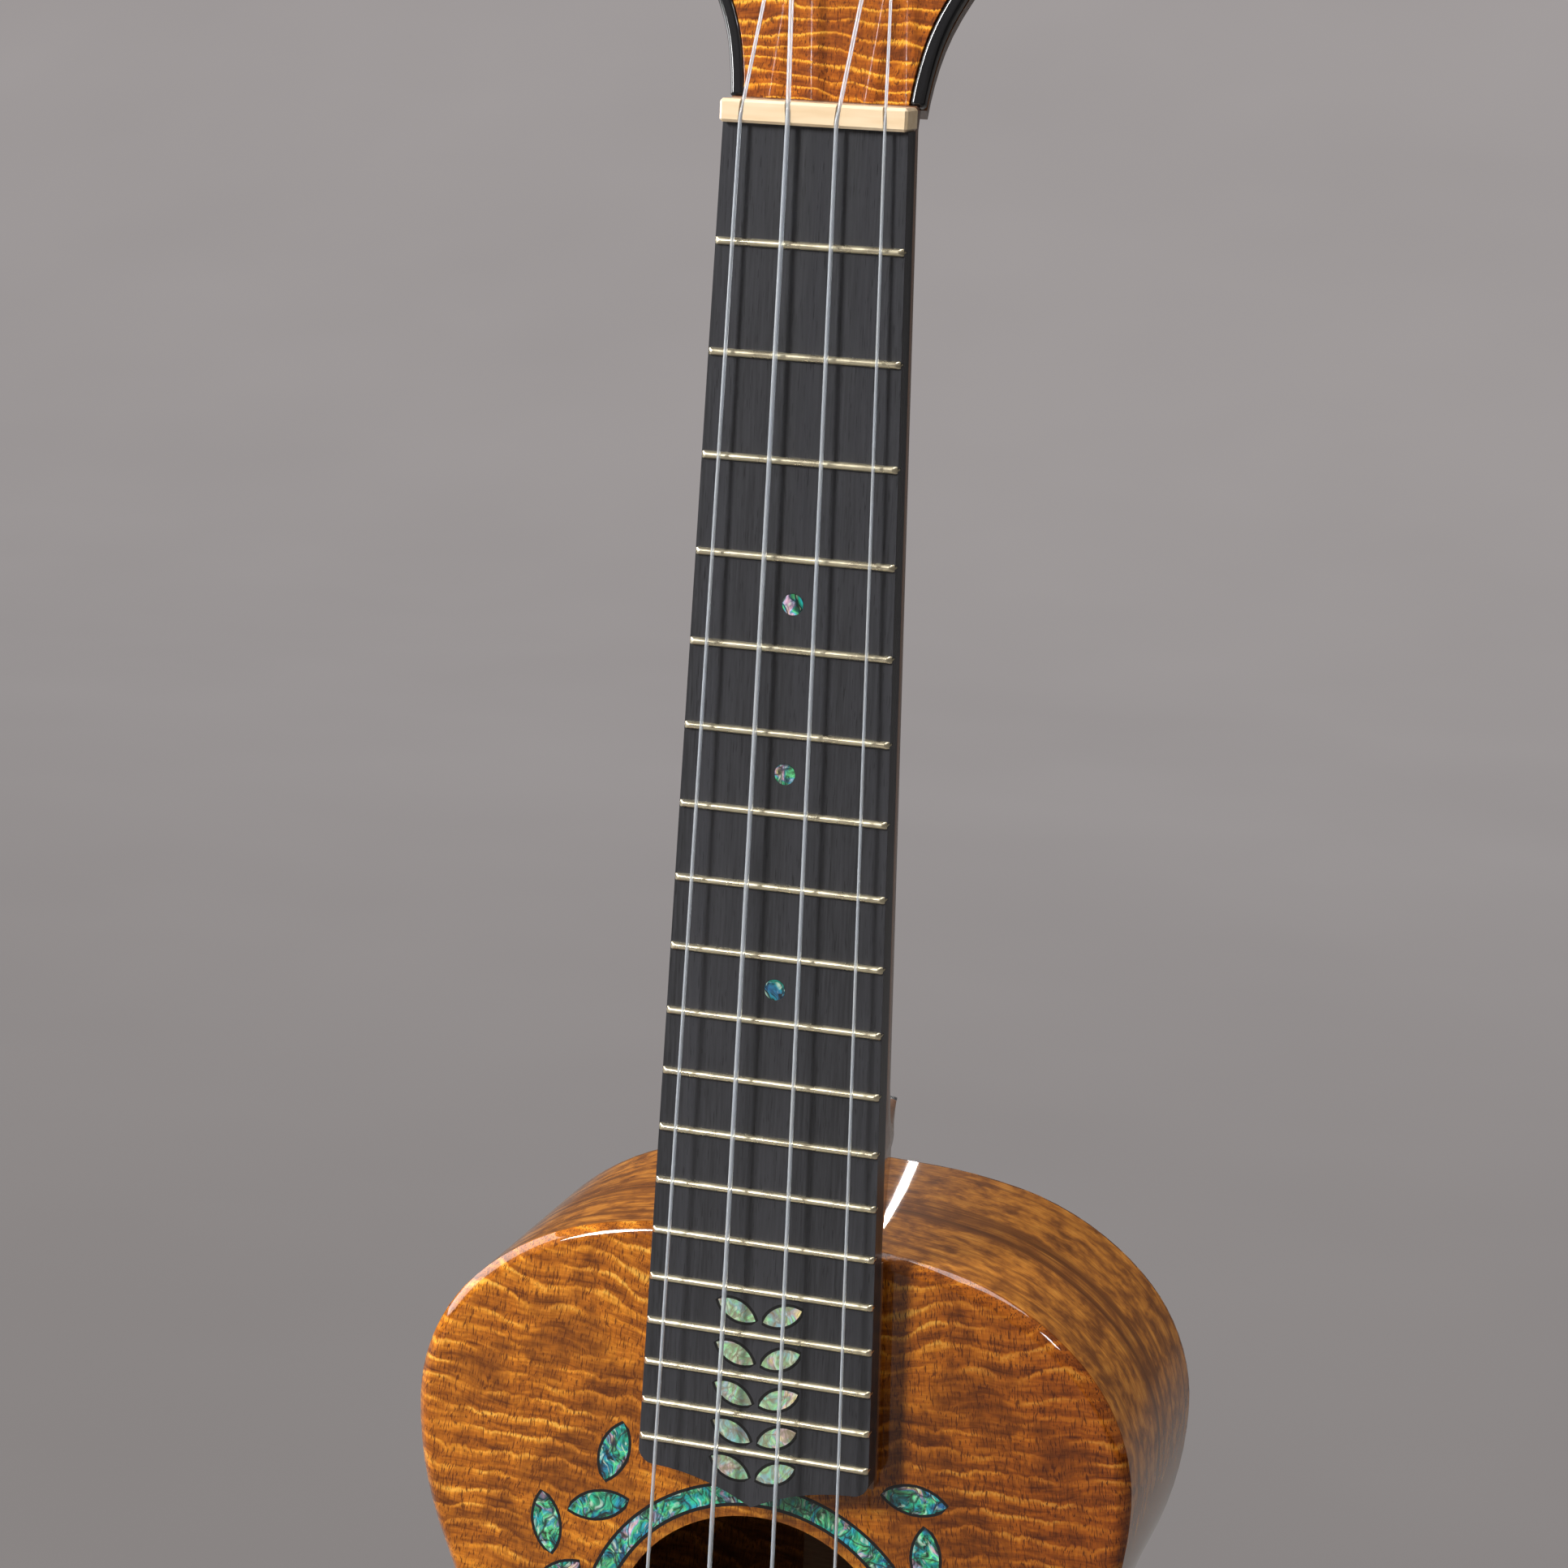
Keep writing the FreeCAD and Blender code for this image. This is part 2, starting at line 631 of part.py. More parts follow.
def make_soundboard():
    body = new_body("soundboard")
    outline = new_sketch(body, "XZ_Plane", "soundboard_outline", "-(face_y + top_thick)")
    draw(outline, body_outline())
    plate = pad(body, outline, "top_thick")
    front = edges_where(plate, lambda box: box.YMax < V.face_y + V.glue_gap)
    chamfer(body, plate, front, "edge_bevel")
    hole = new_sketch(body, "XZ_Plane", "soundhole", "-(face_y + top_thick)")
    draw_circle(hole, "0", "hole_z", "ring_rad")
    pocket(body, hole, "top_thick", reverse=True)
    beds = new_sketch(body, "XZ_Plane", "rosette_beds", "-face_y")
    draw_circle(beds, "0", "hole_z", "ring_rad + line_wide - glue_gap")
    draw_circle(beds, "0", "hole_z", "ring_rad + line_wide + band_wide + glue_gap")
    pocket(body, beds, "inlay_deep")


def make_rosette():
    """Shell band round the soundhole, set off from the ring by a line of its own."""
    def rings(sketch):
        draw_circle(sketch, "0", "hole_z", "ring_rad + line_wide + band_wide")
        draw_circle(sketch, "0", "hole_z", "ring_rad + line_wide")
    extruded("rosette_inlay", "XZ_Plane", rings, "-(face_y + inlay_deep)", "inlay_deep")


def make_soundhole_ring():
    def rings(sketch):
        draw_circle(sketch, "0", "hole_z", "ring_rad - glue_gap")
        draw_circle(sketch, "0", "hole_z", "hole_rad")
    extruded("soundhole_ring", "XZ_Plane", rings, "-(face_y + top_thick)", "top_thick")


def back_wedge(body, name, near):
    """Cuts away what lies behind a plane at a depth in front of the slanted back's outside."""
    sketch = new_sketch(body, "YZ_Plane", name)
    draw_polygon(sketch, [
        (f"face_y + deep_tail + back_slope * overrun - {near}", "-overrun"),
        ("face_y + deep_tail + 2 * overrun", "-overrun"),
        ("face_y + deep_tail + 2 * overrun", "body_len + overrun"),
        (f"face_y + deep_top - back_slope * overrun - {near}", "body_len + overrun"),
    ])
    return pocket(body, sketch, "2 * lower_half + 2 * overrun", middle=True)


def make_back_plate():
    body = extruded("back_plate", "XZ_Plane", body_outline(), "-(face_y + deep_tail)",
                    "deep_tail - deep_top + 2 * back_thick")
    outside = back_wedge(body, "back_outside", "0")
    rear = edges_where(outside, lambda box: abs(
        box.Center.y - (V.face_y + V.deep_tail - V.back_slope * box.Center.z)) < V.back_thick / 4)
    chamfer(body, outside, rear, "edge_bevel")
    inside = new_sketch(body, "YZ_Plane", "back_inside")
    draw_polygon(inside, [
        ("face_y + deep_top - 4 * back_thick", "-overrun"),
        ("face_y + deep_tail + back_slope * overrun - back_thick", "-overrun"),
        ("face_y + deep_top - back_slope * overrun - back_thick", "body_len + overrun"),
        ("face_y + deep_top - 4 * back_thick", "body_len + overrun"),
    ])
    pocket(body, inside, "2 * lower_half + 2 * overrun", middle=True)


def make_ribs():
    for label, side in (("rib_right", 1), ("rib_left", -1)):
        strip = half_strip(0.0, V.rib_thick, 0.0, 0.0)
        strip = mirrored_outline(strip) if side < 0 else strip
        body = extruded(label, "XZ_Plane", strip, "-(face_y + deep_tail)", "deep_tail - top_thick")
        back_wedge(body, label + "_back", "back_thick")
        bed = new_sketch(body, "XY_Plane", label + "_graft_bed")
        draw_polygon(bed, graft_corners("glue_gap"))
        pocket(body, bed, "graft_thick + glue_gap", reverse=True)


def mirrored_outline(outline):
    """An outline of arcs and lines on the other side of the middle line."""
    return [tuple(Vector(-p.x, p.y, 0) for p in piece) for piece in outline]


def graft_corners(gap):
    return [
        (f"-graft_top_half - {gap}", "face_y + top_thick"),
        (f"graft_top_half + {gap}", "face_y + top_thick"),
        (f"graft_back_half + {gap}", "face_y + deep_tail"),
        (f"-graft_back_half - {gap}", "face_y + deep_tail"),
    ]


def make_tail_graft(between_plates):
    wedge = blank_body("graft_wedge")
    sketch = new_sketch(wedge, "XY_Plane", "graft_wedge_sketch")
    draw_polygon(sketch, graft_corners("0"))
    pad(wedge, sketch, "graft_thick")
    common("tail_graft", wedge, between_plates)


def make_linings():
    near = V.rib_thick + V.glue_gap
    right = half_strip(near, near + V.lining_wide, V.block_wide / 2 + V.glue_gap,
                       V.tail_block_wide / 2 + V.glue_gap)
    pair = [right, mirrored_outline(right)]
    group("top_linings", flat_solids(pair, V.face_y + V.top_thick, V.lining_tall))
    rear = slab(V.back_thick, V.back_thick + V.lining_tall)
    group("back_linings", [s.common(rear) for s in flat_solids(pair, V.face_y, V.deep_tail)])


def make_blocks(room):
    depth = "deep_tail - top_thick"
    front = "face_y + top_thick"
    block = box_at("neck_block_blank", "block_wide / 2", front, depth,
                   "body_len - rib_thick - block_thick", "block_thick")
    common("neck_block", block, room)
    block = box_at("tail_block_blank", "tail_block_wide / 2", front, depth,
                   "rib_thick", "tail_block_thick")
    common("tail_block", block, room)


def brace(label, room, z):
    """Transverse bar under the soundboard, thinned towards both ends."""
    blank = blank_body(label + "_blank")
    sketch = new_sketch(blank, "XY_Plane", label + "_sketch", f"{z} - brace_wide / 2")
    base = "face_y + top_thick"
    draw_polygon(sketch, [
        ("-lower_half", base), ("lower_half", base), ("lower_half", base + " + brace_tall / 4"),
        ("brace_full_half", base + " + brace_tall"), ("-brace_full_half", base + " + brace_tall"),
        ("-lower_half", base + " + brace_tall / 4"),
    ])
    pad(blank, sketch, "brace_wide")
    common(label, blank, room)


def make_top_braces(room):
    brace("upper_brace", room, "hole_z + upper_brace_up")
    brace("lower_brace", room, "hole_z - lower_brace_down")
    base = V.face_y + V.top_thick
    top = V.saddle_z - V.bridge_near - V.patch_tall / 2
    bars = []
    for side in (-1, 0, 1):
        corners = [Vector(x, 0, z) for x, z in ((-1, 0), (1, 0), (1, -1), (-1, -1))]
        corners = [Vector(c.x * V.fan_wide / 2, base, c.z * V.fan_len) for c in corners]
        bar = Part.Face(Part.makePolygon(corners + corners[:1])).extrude(Vector(0, V.fan_tall, 0))
        edges = [e for e in bar.Edges if abs(e.CenterOfMass.z) < V.glue_gap or
                 abs(e.CenterOfMass.z + V.fan_len) < V.glue_gap]
        edges = [e for e in edges if e.CenterOfMass.y > base + V.fan_tall - V.glue_gap]
        bar = bar.makeChamfer(V.fan_tall / 2, edges)
        bar.rotate(Vector(), Vector(0, 1, 0), -side * V.fan_angle)
        bar.translate(Vector(side * V.fan_spread / 2, 0, top))
        bars.append(bar)
    group("fan_braces", bars)


def make_patches():
    def plate(sketch):
        draw_polygon(sketch, [
            ("-patch_half", "saddle_z - patch_tall / 2"), ("patch_half", "saddle_z - patch_tall / 2"),
            ("patch_half", "saddle_z + patch_tall / 2"), ("-patch_half", "saddle_z + patch_tall / 2"),
        ])

    def frame(sketch):
        draw_polygon(sketch, [
            ("-hole_patch_half", "hole_z - hole_patch_half"), ("hole_patch_half", "hole_z - hole_patch_half"),
            ("hole_patch_half", "hole_z + hole_patch_half"), ("-hole_patch_half", "hole_z + hole_patch_half"),
        ])
        draw_circle(sketch, "0", "hole_z", "ring_rad")
    extruded("bridge_patch", "XZ_Plane", plate, "-(face_y + top_thick + patch_thick)", "patch_thick")
    extruded("soundhole_patch", "XZ_Plane", frame, "-(face_y + top_thick + patch_thick)", "patch_thick")


# Middles of the back braces, as shares of the body's length from the tail
BACK_BRACE_SHARES = (0.24, 0.56, 0.82)


def make_back_braces():
    room = cavity(V.rib_thick + V.lining_wide + 2 * V.glue_gap)
    bars = []
    rear = slab(V.back_thick, V.back_thick + V.brace_tall)
    reach = V.lower_half
    for share in BACK_BRACE_SHARES:
        bar = Part.makeBox(2 * reach, V.deep_tail, V.brace_wide,
                           Vector(-reach, V.face_y, share * V.body_len - V.brace_wide / 2))
        bars.append(bar.common(rear).common(room))
    group("back_braces", bars)
    rear = slab(V.back_thick, V.back_thick + V.strip_thick)
    low = V.rib_thick + V.tail_block_thick + V.glue_gap
    strips = []
    half = V.brace_wide / 2 + V.glue_gap
    stops = [share * V.body_len for share in BACK_BRACE_SHARES]
    stops.append(V.body_len - V.rib_thick - V.block_thick - V.glue_gap + half)
    for stop in stops:
        strip = Part.makeBox(V.strip_wide, V.deep_tail, stop - half - low,
                             Vector(-V.strip_wide / 2, V.face_y, low))
        strips.append(strip.common(rear))
        low = stop + half
    group("back_strip", strips)


# Fingerboard, frets and what is let into the board
def fret_z(number):
    """Height of a fret's middle in the frame."""
    return V.nut_z - V.scale_length * (1 - 2 ** (-number / 12))


def board_half(z):
    return V.board_half_nut + V.board_slope * (V.nut_z - z)


# How near the board's rounded corner comes to its sharp one, and where the end's hollow lies midway
CORNER_SHARE = 0.27
HOLLOW_SHARE = 0.28


def board_outline(sketch):
    """Tapered board whose lower end is two shallow hollows that meet in a point."""
    corner = Vector(V.board_half_end, V.nut_z - V.board_end_dist, 0)
    tip = Vector(0, V.nut_z - V.board_tip_dist, 0)
    top = Vector(V.board_half_nut, V.nut_z, 0)
    side_dir = (corner - top).normalize()
    start = corner - side_dir * V.board_corner
    turn = Vector(corner.x - V.board_corner, corner.y, 0)
    middle = corner + (start - corner + turn - corner) * CORNER_SHARE
    drop = turn.y - tip.y
    hollow = Vector(turn.x / 2, turn.y - drop * HOLLOW_SHARE, 0)
    half = [(top, start), (start, middle, turn), (turn, hollow, tip)]
    draw(sketch, half + mirrored_outline(half) + [(top, Vector(-top.x, top.y, 0))])


def make_fingerboard():
    body = blank_body("fingerboard_blank")
    outline = new_sketch(body, "XZ_Plane", "board_sketch", "-board_y")
    board_outline(outline)
    pad(body, outline, "board_thick")
    slots = new_sketch(body, "YZ_Plane", "fret_slots")
    for number in range(1, int(V.fret_count) + 1):
        middle = f"nut_z - scale_length * (1 - 2 ^ (-{number} / 12))"
        wide = "(tang_thick / 2 + slot_gap)"
        top = "board_y - board_thick - overrun"
        floor = "board_y - board_thick + tang_deep + slot_gap"
        draw_polygon(slots, [(top, f"{middle} - {wide}"), (floor, f"{middle} - {wide}"),
                             (floor, f"{middle} + {wide}"), (top, f"{middle} + {wide}")])
    pocket(body, slots, "2 * board_half_end + 2 * overrun", middle=True)
    beds = new_sketch(body, "XZ_Plane", "inlay_beds", "-(board_y - board_thick)")
    for z in dot_places():
        beds.addGeometry(Part.Circle(Vector(0, z, 0), Vector(0, 0, 1), V.dot_rad + V.glue_gap))
    pocket(body, beds, "inlay_deep")
    dots = side_dots()
    cut("fingerboard", body, helper("side_dot_pegs", Part.makeCompound(dots)))
    group("side_dots", dots)


# Frets that carry a position dot in the space below them
DOT_FRETS = (5, 7, 10)


def dot_places():
    return [(fret_z(number) + fret_z(number - 1)) / 2 for number in DOT_FRETS]


def make_position_dots():
    face = V.board_y - V.board_thick
    group("position_dots", [Part.makeCylinder(V.dot_rad, V.inlay_deep, Vector(0, face, z), Vector(0, 1, 0))
                            for z in dot_places()])


def side_dots():
    """Pegs in the board's bass edge, square to it."""
    dots = []
    lean = math.atan(V.board_slope)
    for number in DOT_FRETS + (12,):
        z = (fret_z(number) + fret_z(number - 1)) / 2
        start = Vector(-board_half(z), V.board_y - V.board_thick / 2, z)
        inward = Vector(math.cos(lean), 0, math.sin(lean))
        dots.append(rod(start, inward * V.inlay_deep, V.side_dot_rad))
    return dots


# Flat sides of a fret's crown
CROWN_SIDES = 6


def make_frets():
    profiles = document.addObject("Sketcher::SketchObject", "fret_profiles")
    profiles.Placement = Placement(Vector(), Rotation(Vector(1, 1, 1), 120))
    face = V.board_y - V.board_thick
    for number in range(1, int(V.fret_count) + 1):
        z = fret_z(number)
        half = V.fret_wide / 2
        tang = V.tang_thick / 2
        low = face + V.tang_deep
        foot = [Vector(face, z + half, 0), Vector(face, z + tang, 0), Vector(low, z + tang, 0),
                Vector(low, z - tang, 0), Vector(face, z - tang, 0), Vector(face, z - half, 0)]
        turns = [math.pi * k / CROWN_SIDES for k in range(1, CROWN_SIDES)]
        crown = [Vector(face - V.fret_tall * math.sin(turn), z - half * math.cos(turn), 0) for turn in turns]
        ring = foot + crown
        draw(profiles, list(zip(ring, ring[1:] + ring[:1])))
    bars = document.addObject("Part::Extrusion", "fret_bars")
    bars.Base = profiles
    bars.DirMode = "Custom"
    bars.Dir = Vector(1, 0, 0)
    bars.Solid = True
    bars.Symmetric = True
    bind(bars, LengthFwd="2 * board_half_end + 2 * overrun")
    ends = []
    for y, narrow in ((V.fret_y, V.fret_bevel), (face, 0.0), (face + V.tang_deep, 0.0)):
        ring = []
        for side, dist in ((-1, 0.0), (1, 0.0), (1, V.board_end_dist), (-1, V.board_end_dist)):
            half = V.board_half_nut + V.board_slope * dist - narrow
            ring.append(Vector(side * half, y, V.nut_z - dist))
        ends.append(Part.makePolygon(ring + ring[:1]))
    bevels = helper("fret_bevels", Part.makeLoft(ends, True, True))
    common("frets", bars, bevels)


def make_riser():
    """Wedge of neck wood that carries the board over the soundboard."""
    top = V.body_len - V.overrun
    low = V.nut_z - V.board_end_dist
    ring = [Vector(side * (board_half(z) - V.neck_inset), z, 0)
            for side, z in ((-1, top), (1, top), (1, low), (-1, low))]
    sides = list(zip(ring, ring[1:] + ring[:1]))
    extruded("neck_riser", "XZ_Plane", sides, "-face_y", "riser_thick")


def make_nut():
    blank = blank_body("nut_blank")
    sketch = new_sketch(blank, "XZ_Plane", "nut_sketch", "-board_y")
    half = "board_half_nut + nut_proud"
    draw_polygon(sketch, [(f"-({half})", "nut_z"), (half, "nut_z"), (half, "nut_z + nut_thick"),
                          (f"-({half})", "nut_z + nut_thick")])
    block = pad(blank, sketch, "board_y - fret_y + nut_over")
    edges = edges_where(block, lambda box: box.YMin < V.fret_y - V.nut_over / 2)
    chamfer(blank, block, edges, "nut_bevel")
    slots = []
    for string in strings():
        near, corner, far = string.path[-3:]
        line = [at_z(near, corner, V.nut_z - V.overrun), corner, at_z(corner, far, V.head_z + V.overrun)]
        slots += slots_along(line, string.dia, V.nut_over + V.overrun)
    return cut("nut", blank, helper("nut_slots", Part.makeCompound(slots)))


def slots_along(line, dia, rise):
    """Cutters open towards the front that leave a string its clearance along straight runs."""
    half = dia / 2 + V.string_gap
    cutters = []
    for near, far in zip(line, line[1:]):
        run = far - near
        deep = half * run.Length / abs(run.z)
        corners = ((-half, deep), (half, deep), (half, -rise), (-half, -rise))
        ring = [near + Vector(x, y, 0) for x, y in corners]
        cutters.append(Part.Face(Part.makePolygon(ring + ring[:1])).extrude(run))
    return cutters


def at_z(start, end, z):
    """The place at a height on the line through two points."""
    return start + (end - start) * ((z - start.z) / (end.z - start.z))


# Neck and headstock
# Flat sides of a neck section's round part from one side to its middle
SECTION_SIDES = 8
# Share of the shaft's depth in which its sides run straight
SHAFT_STRAIGHT_SHARE = 0.1


def neck_section(body, name, z, half, deep, lean, straight):
    """Section in flat sides: straight ones that lean in by some degrees, then round ones to the middle."""
    sketch = new_sketch(body, "XY_Plane", name, f"{z:.6f}")
    side_deep = deep * straight
    side_half = half - side_deep * math.tan(math.radians(lean))
    ring = [Vector(half, V.board_y, 0)]
    for arc in chain([(side_half, V.board_y + side_deep, 90 + lean), (0, V.board_y + deep, 180)]):
        round_edge = Part.Arc(*arc).toShape()
        ring += round_edge.discretize(SECTION_SIDES // 2 + 1)[:-1]
    ring.append(Vector(0, V.board_y + deep, 0))
    ring += [Vector(-p.x, p.y, 0) for p in reversed(ring[:-1])]
    draw(sketch, list(zip(ring, ring[1:] + ring[:1])))
    return sketch


def loft(body, name, sketches):
    feature = body.newObject("PartDesign::AdditiveLoft", name)
    feature.Profile = sketches[0]
    feature.Sections = sketches[1:]
    feature.Ruled = True
    return feature


# Sections of the heel: share of its run, share of its depth, share of the side's full lean, and the share
# of the section's depth in which the sides run straight
HEEL_SHARES = ((0.0, 0.0, 0.0, SHAFT_STRAIGHT_SHARE), (0.2, 0.03, 0.15, 0.12), (0.36, 0.1, 0.35, 0.2),
               (0.49, 0.24, 0.6, 0.35), (0.58, 0.45, 0.78, 0.5), (0.64, 0.7, 0.92, 0.65),
               (0.68, 1.0, 1.0, 0.8), (1.0, 1.0, 1.0, 0.8))


def heel(body):
    """The foot of the neck, sweeping back to the depth of the body."""
    sections = []
    low = V.nut_z - V.heel_start
    run = low - V.body_len + V.overrun
    grow = V.heel_deep - V.neck_deep_heel
    for k, (along_share, deep_share, lean_share, straight_share) in enumerate(HEEL_SHARES):
        z = low - run * along_share
        deep = V.neck_deep_heel + grow * deep_share
        half = board_half(z) - V.neck_inset
        sections.append(neck_section(body, f"heel_section_{k}", z, half, deep, V.heel_lean * lean_share,
                                     straight_share))
    return loft(body, "heel_loft", sections)


# How far the neck's round back runs up behind the headstock, as a share of the headstock's thickness
SHAFT_TOP_SHARE = 0.65


def make_neck(seat):
    shaft = blank_body("neck_shaft")
    top = V.head_z + (V.head_thick - V.veneer_thick) * SHAFT_TOP_SHARE
    back_y = V.head_y + V.head_thick / math.cos(math.radians(V.head_tilt))
    deep_top = back_y + (top - V.head_z) * math.tan(math.radians(V.head_tilt)) - V.board_y
    low = V.nut_z - V.heel_start
    spans = ((top, V.head_foot_half - V.neck_inset, deep_top),
             (V.nut_z, V.board_half_nut - V.neck_inset, V.neck_deep_nut),
             (low, board_half(low) - V.neck_inset, V.neck_deep_heel))
    sections = [neck_section(shaft, f"shaft_section_{k}", z, half, deep, 0, SHAFT_STRAIGHT_SHARE)
                for k, (z, half, deep) in enumerate(spans)]
    loft(shaft, "shaft_loft", sections)
    heel(shaft)
    end = new_sketch(shaft, "YZ_Plane", "cap_seat")
    front = "face_y + deep_top - cap_inset - cap_thick"
    rear = "board_y + heel_deep + overrun"
    draw_polygon(end, [(front, "body_len - 2 * overrun"), (rear, "body_len - 2 * overrun"),
                       (rear, "nut_z"), (front, "nut_z")])
    pocket(shaft, end, "2 * lower_half", middle=True)
    foot = new_sketch(shaft, "XZ_Plane", "body_joint", "-face_y")
    draw(foot, body_outline(-V.glue_gap))
    pocket(shaft, foot, "deep_tail")
    core = blank_body("head_core")
    rear = new_sketch(core, "XZ_Plane", "head_rear", "-head_thick")
    draw(rear, head_outline(V.head_back_inset))
    ledge = new_sketch(core, "XZ_Plane", "head_ledge", "-binding_deep")
    draw(ledge, head_outline())
    loft(core, "head_side", [rear, ledge])
    front = new_sketch(core, "XZ_Plane", "head_front", "-binding_deep")
    draw(front, head_outline(V.binding_wide + V.glue_gap))
    pad(core, front, "binding_deep - veneer_thick")
    bores = head_holes("core_bore", "0", "0", "-overrun", "head_thick + overrun", "bush_rad + glue_gap",
                       ROUND_SIDES)
    for k, (across, rise) in enumerate(screw_offsets()):
        bores += head_holes(f"screw_pilot_{k}", across, rise, "head_thick - screw_shank_len - glue_gap",
                            "head_thick + overrun", "screw_shank_rad + glue_gap", SCREW_SIDES)
    head = on_head(without("head_wood", core, joined("head_bores", *bores)))
    trim = helper("trim_room", flat_solids([head_outline()], -V.head_thick, V.head_thick + V.binding_deep)[0])
    clear = without("shaft_clear", shaft, on_head(trim))
    cut("neck", joined("neck_blank", clear, head), seat)


def post_places():
    """Side, half width and height above the nut of the four posts, with their string's letter."""
    return [("g", -1, "post_low_half", "post_low_up"), ("c", -1, "post_high_half", "post_high_up"),
            ("e", 1, "post_high_half", "post_high_up"), ("a", 1, "post_low_half", "post_low_up")]


# Flat sides of a small screw's shank
SCREW_SIDES = 8


def head_holes(name, across, rise, start, end, radius, sides):
    """A rod for each tuner through the upright headstock, offset from its post."""
    rods = []
    for letter, side, half, up in post_places():
        item = prism(f"{letter}_{name}", start, end, radius, sides)
        bind(item, Placement__Base__x=f"{side} * ({half} + {across})", Placement__Base__z=f"{up} + {rise}")
        rods.append(item)
    return rods


def screw_offsets():
    """Screws of one tuner plate from its post: across and up."""
    return [("0", "screw_up"), ("0", "-screw_down")]


def make_heel_cap():
    """Layer that covers the heel's end, cut from the heel's own form."""
    body = new_body("heel_cap")
    heel(body)
    foot = new_sketch(body, "XZ_Plane", "cap_body_joint", "-(board_y - overrun)")
    draw(foot, body_outline(-V.glue_gap))
    pocket(body, foot, "deep_tail + 2 * overrun")
    rest = new_sketch(body, "YZ_Plane", "cap_limits")
    front = "face_y + deep_top - cap_inset - cap_thick"
    rear = "board_y + heel_deep + overrun"
    for near, far in (("board_y - overrun", front), (front + " + cap_thick", rear)):
        draw_polygon(rest, [(near, "body_len - 2 * overrun"), (far, "body_len - 2 * overrun"),
                            (far, "nut_z"), (near, "nut_z")])
    pocket(body, rest, "2 * lower_half", middle=True)


def make_headstock_trim(seat):
    veneer = blank_body("veneer_blank")
    sketch = new_sketch(veneer, "XZ_Plane", "veneer_sketch", "-veneer_thick")
    draw(sketch, head_outline(V.binding_wide + V.glue_gap))
    pad(veneer, sketch, "veneer_thick")
    bores = head_holes("veneer_bore", "0", "0", "-overrun", "head_thick", "bush_rad + glue_gap", ROUND_SIDES)
    plate = on_head(without("veneer_bored", veneer, joined("veneer_bores", *bores)))
    cut("headstock_veneer", plate, seat)
    binding = blank_body("binding_blank")
    sketch = new_sketch(binding, "XZ_Plane", "binding_sketch", "-binding_deep")
    draw(sketch, binding_outline())
    pad(binding, sketch, "binding_deep")
    on_head(binding)
    cut("headstock_binding", binding, seat)


def binding_outline():
    """Strip along both sides and the top of the headstock, open at the nut."""
    out = half_head()
    out = out + mirrored(out)
    within = inset(half_head(), V.binding_wide)
    within = within + mirrored(within)
    back = [tuple(reversed(arc)) for arc in reversed(within)]
    return out + [(out[-1][-1], back[0][0])] + back + [(back[-1][-1], out[0][0])]


# Bridge, saddle and strings
def make_bridge():
    """Glued bridge: saddle in a slot, and behind it a wall whose slots hold the knotted strings."""
    blank = blank_body("bridge_blank")
    side = new_sketch(blank, "YZ_Plane", "bridge_profile")
    draw_polygon(side, [
        ("face_y", "saddle_z + bridge_near"),
        ("face_y - wing_tall", "saddle_z + bridge_near"),
        ("face_y - bridge_tall", "saddle_z + bridge_near / 2"),
        ("face_y - bridge_tall", "saddle_z - wall_near - wall_thick"),
        ("face_y - shelf_tall", "saddle_z - wall_near - wall_thick"),
        ("face_y - shelf_tall / 2", "saddle_z - bridge_far"),
        ("face_y", "saddle_z - bridge_far"),
    ])
    bar = pad(blank, side, "2 * bridge_half", middle=True)
    ends = edges_where(bar, lambda box: box.XLength < V.glue_gap and box.ZLength < V.glue_gap
                       and abs(box.Center.y - V.face_y) < V.bridge_tall)
    fillet(blank, bar, ends, "bridge_corner")
    wings = new_sketch(blank, "XY_Plane", "wing_scoops")
    for sign in ("", "-"):
        draw_polygon(wings, [
            (f"{sign}(bridge_mid_half)", "face_y - bridge_tall - overrun"),
            (f"{sign}(bridge_mid_half)", "face_y - bridge_tall"),
            (f"{sign}(bridge_mid_half + bridge_scoop / 2)", "face_y - wing_tall - glue_gap"),
            (f"{sign}(bridge_half + overrun)", "face_y - wing_tall + wing_tall / 4"),
            (f"{sign}(bridge_half + overrun)", "face_y - bridge_tall - overrun"),
        ])
    pocket(blank, wings, "body_len", reverse=True)
    slot = new_sketch(blank, "YZ_Plane", "saddle_slot")
    draw_polygon(slot, saddle_corners("glue_gap", "bridge_tall + overrun"))
    pocket(blank, slot, "2 * saddle_half + 2 * glue_gap", middle=True)
    slots = []
    for string in strings():
        knot, low, corner = string.path[:3]
        front = at_z(low, corner, V.saddle_z - V.saddle_set - V.saddle_thick / 2)
        slots += slots_along([knot - Vector(0, 0, V.overrun), low, front], string.dia, V.bridge_tall)
    cut("bridge", blank, helper("bridge_slots", Part.makeCompound(slots)))


def saddle_corners(gap, top):
    """Corners of the saddle's section with a gap at its sides, up to a height over the soundboard."""
    near = f"saddle_z - saddle_set + saddle_thick / 2 + {gap}"
    far = f"saddle_z - saddle_set - saddle_thick / 2 - {gap}"
    base = "face_y - bridge_tall + saddle_deep"
    return [(base, near), (f"face_y - ({top})", near), (f"face_y - ({top})", far), (base, far)]


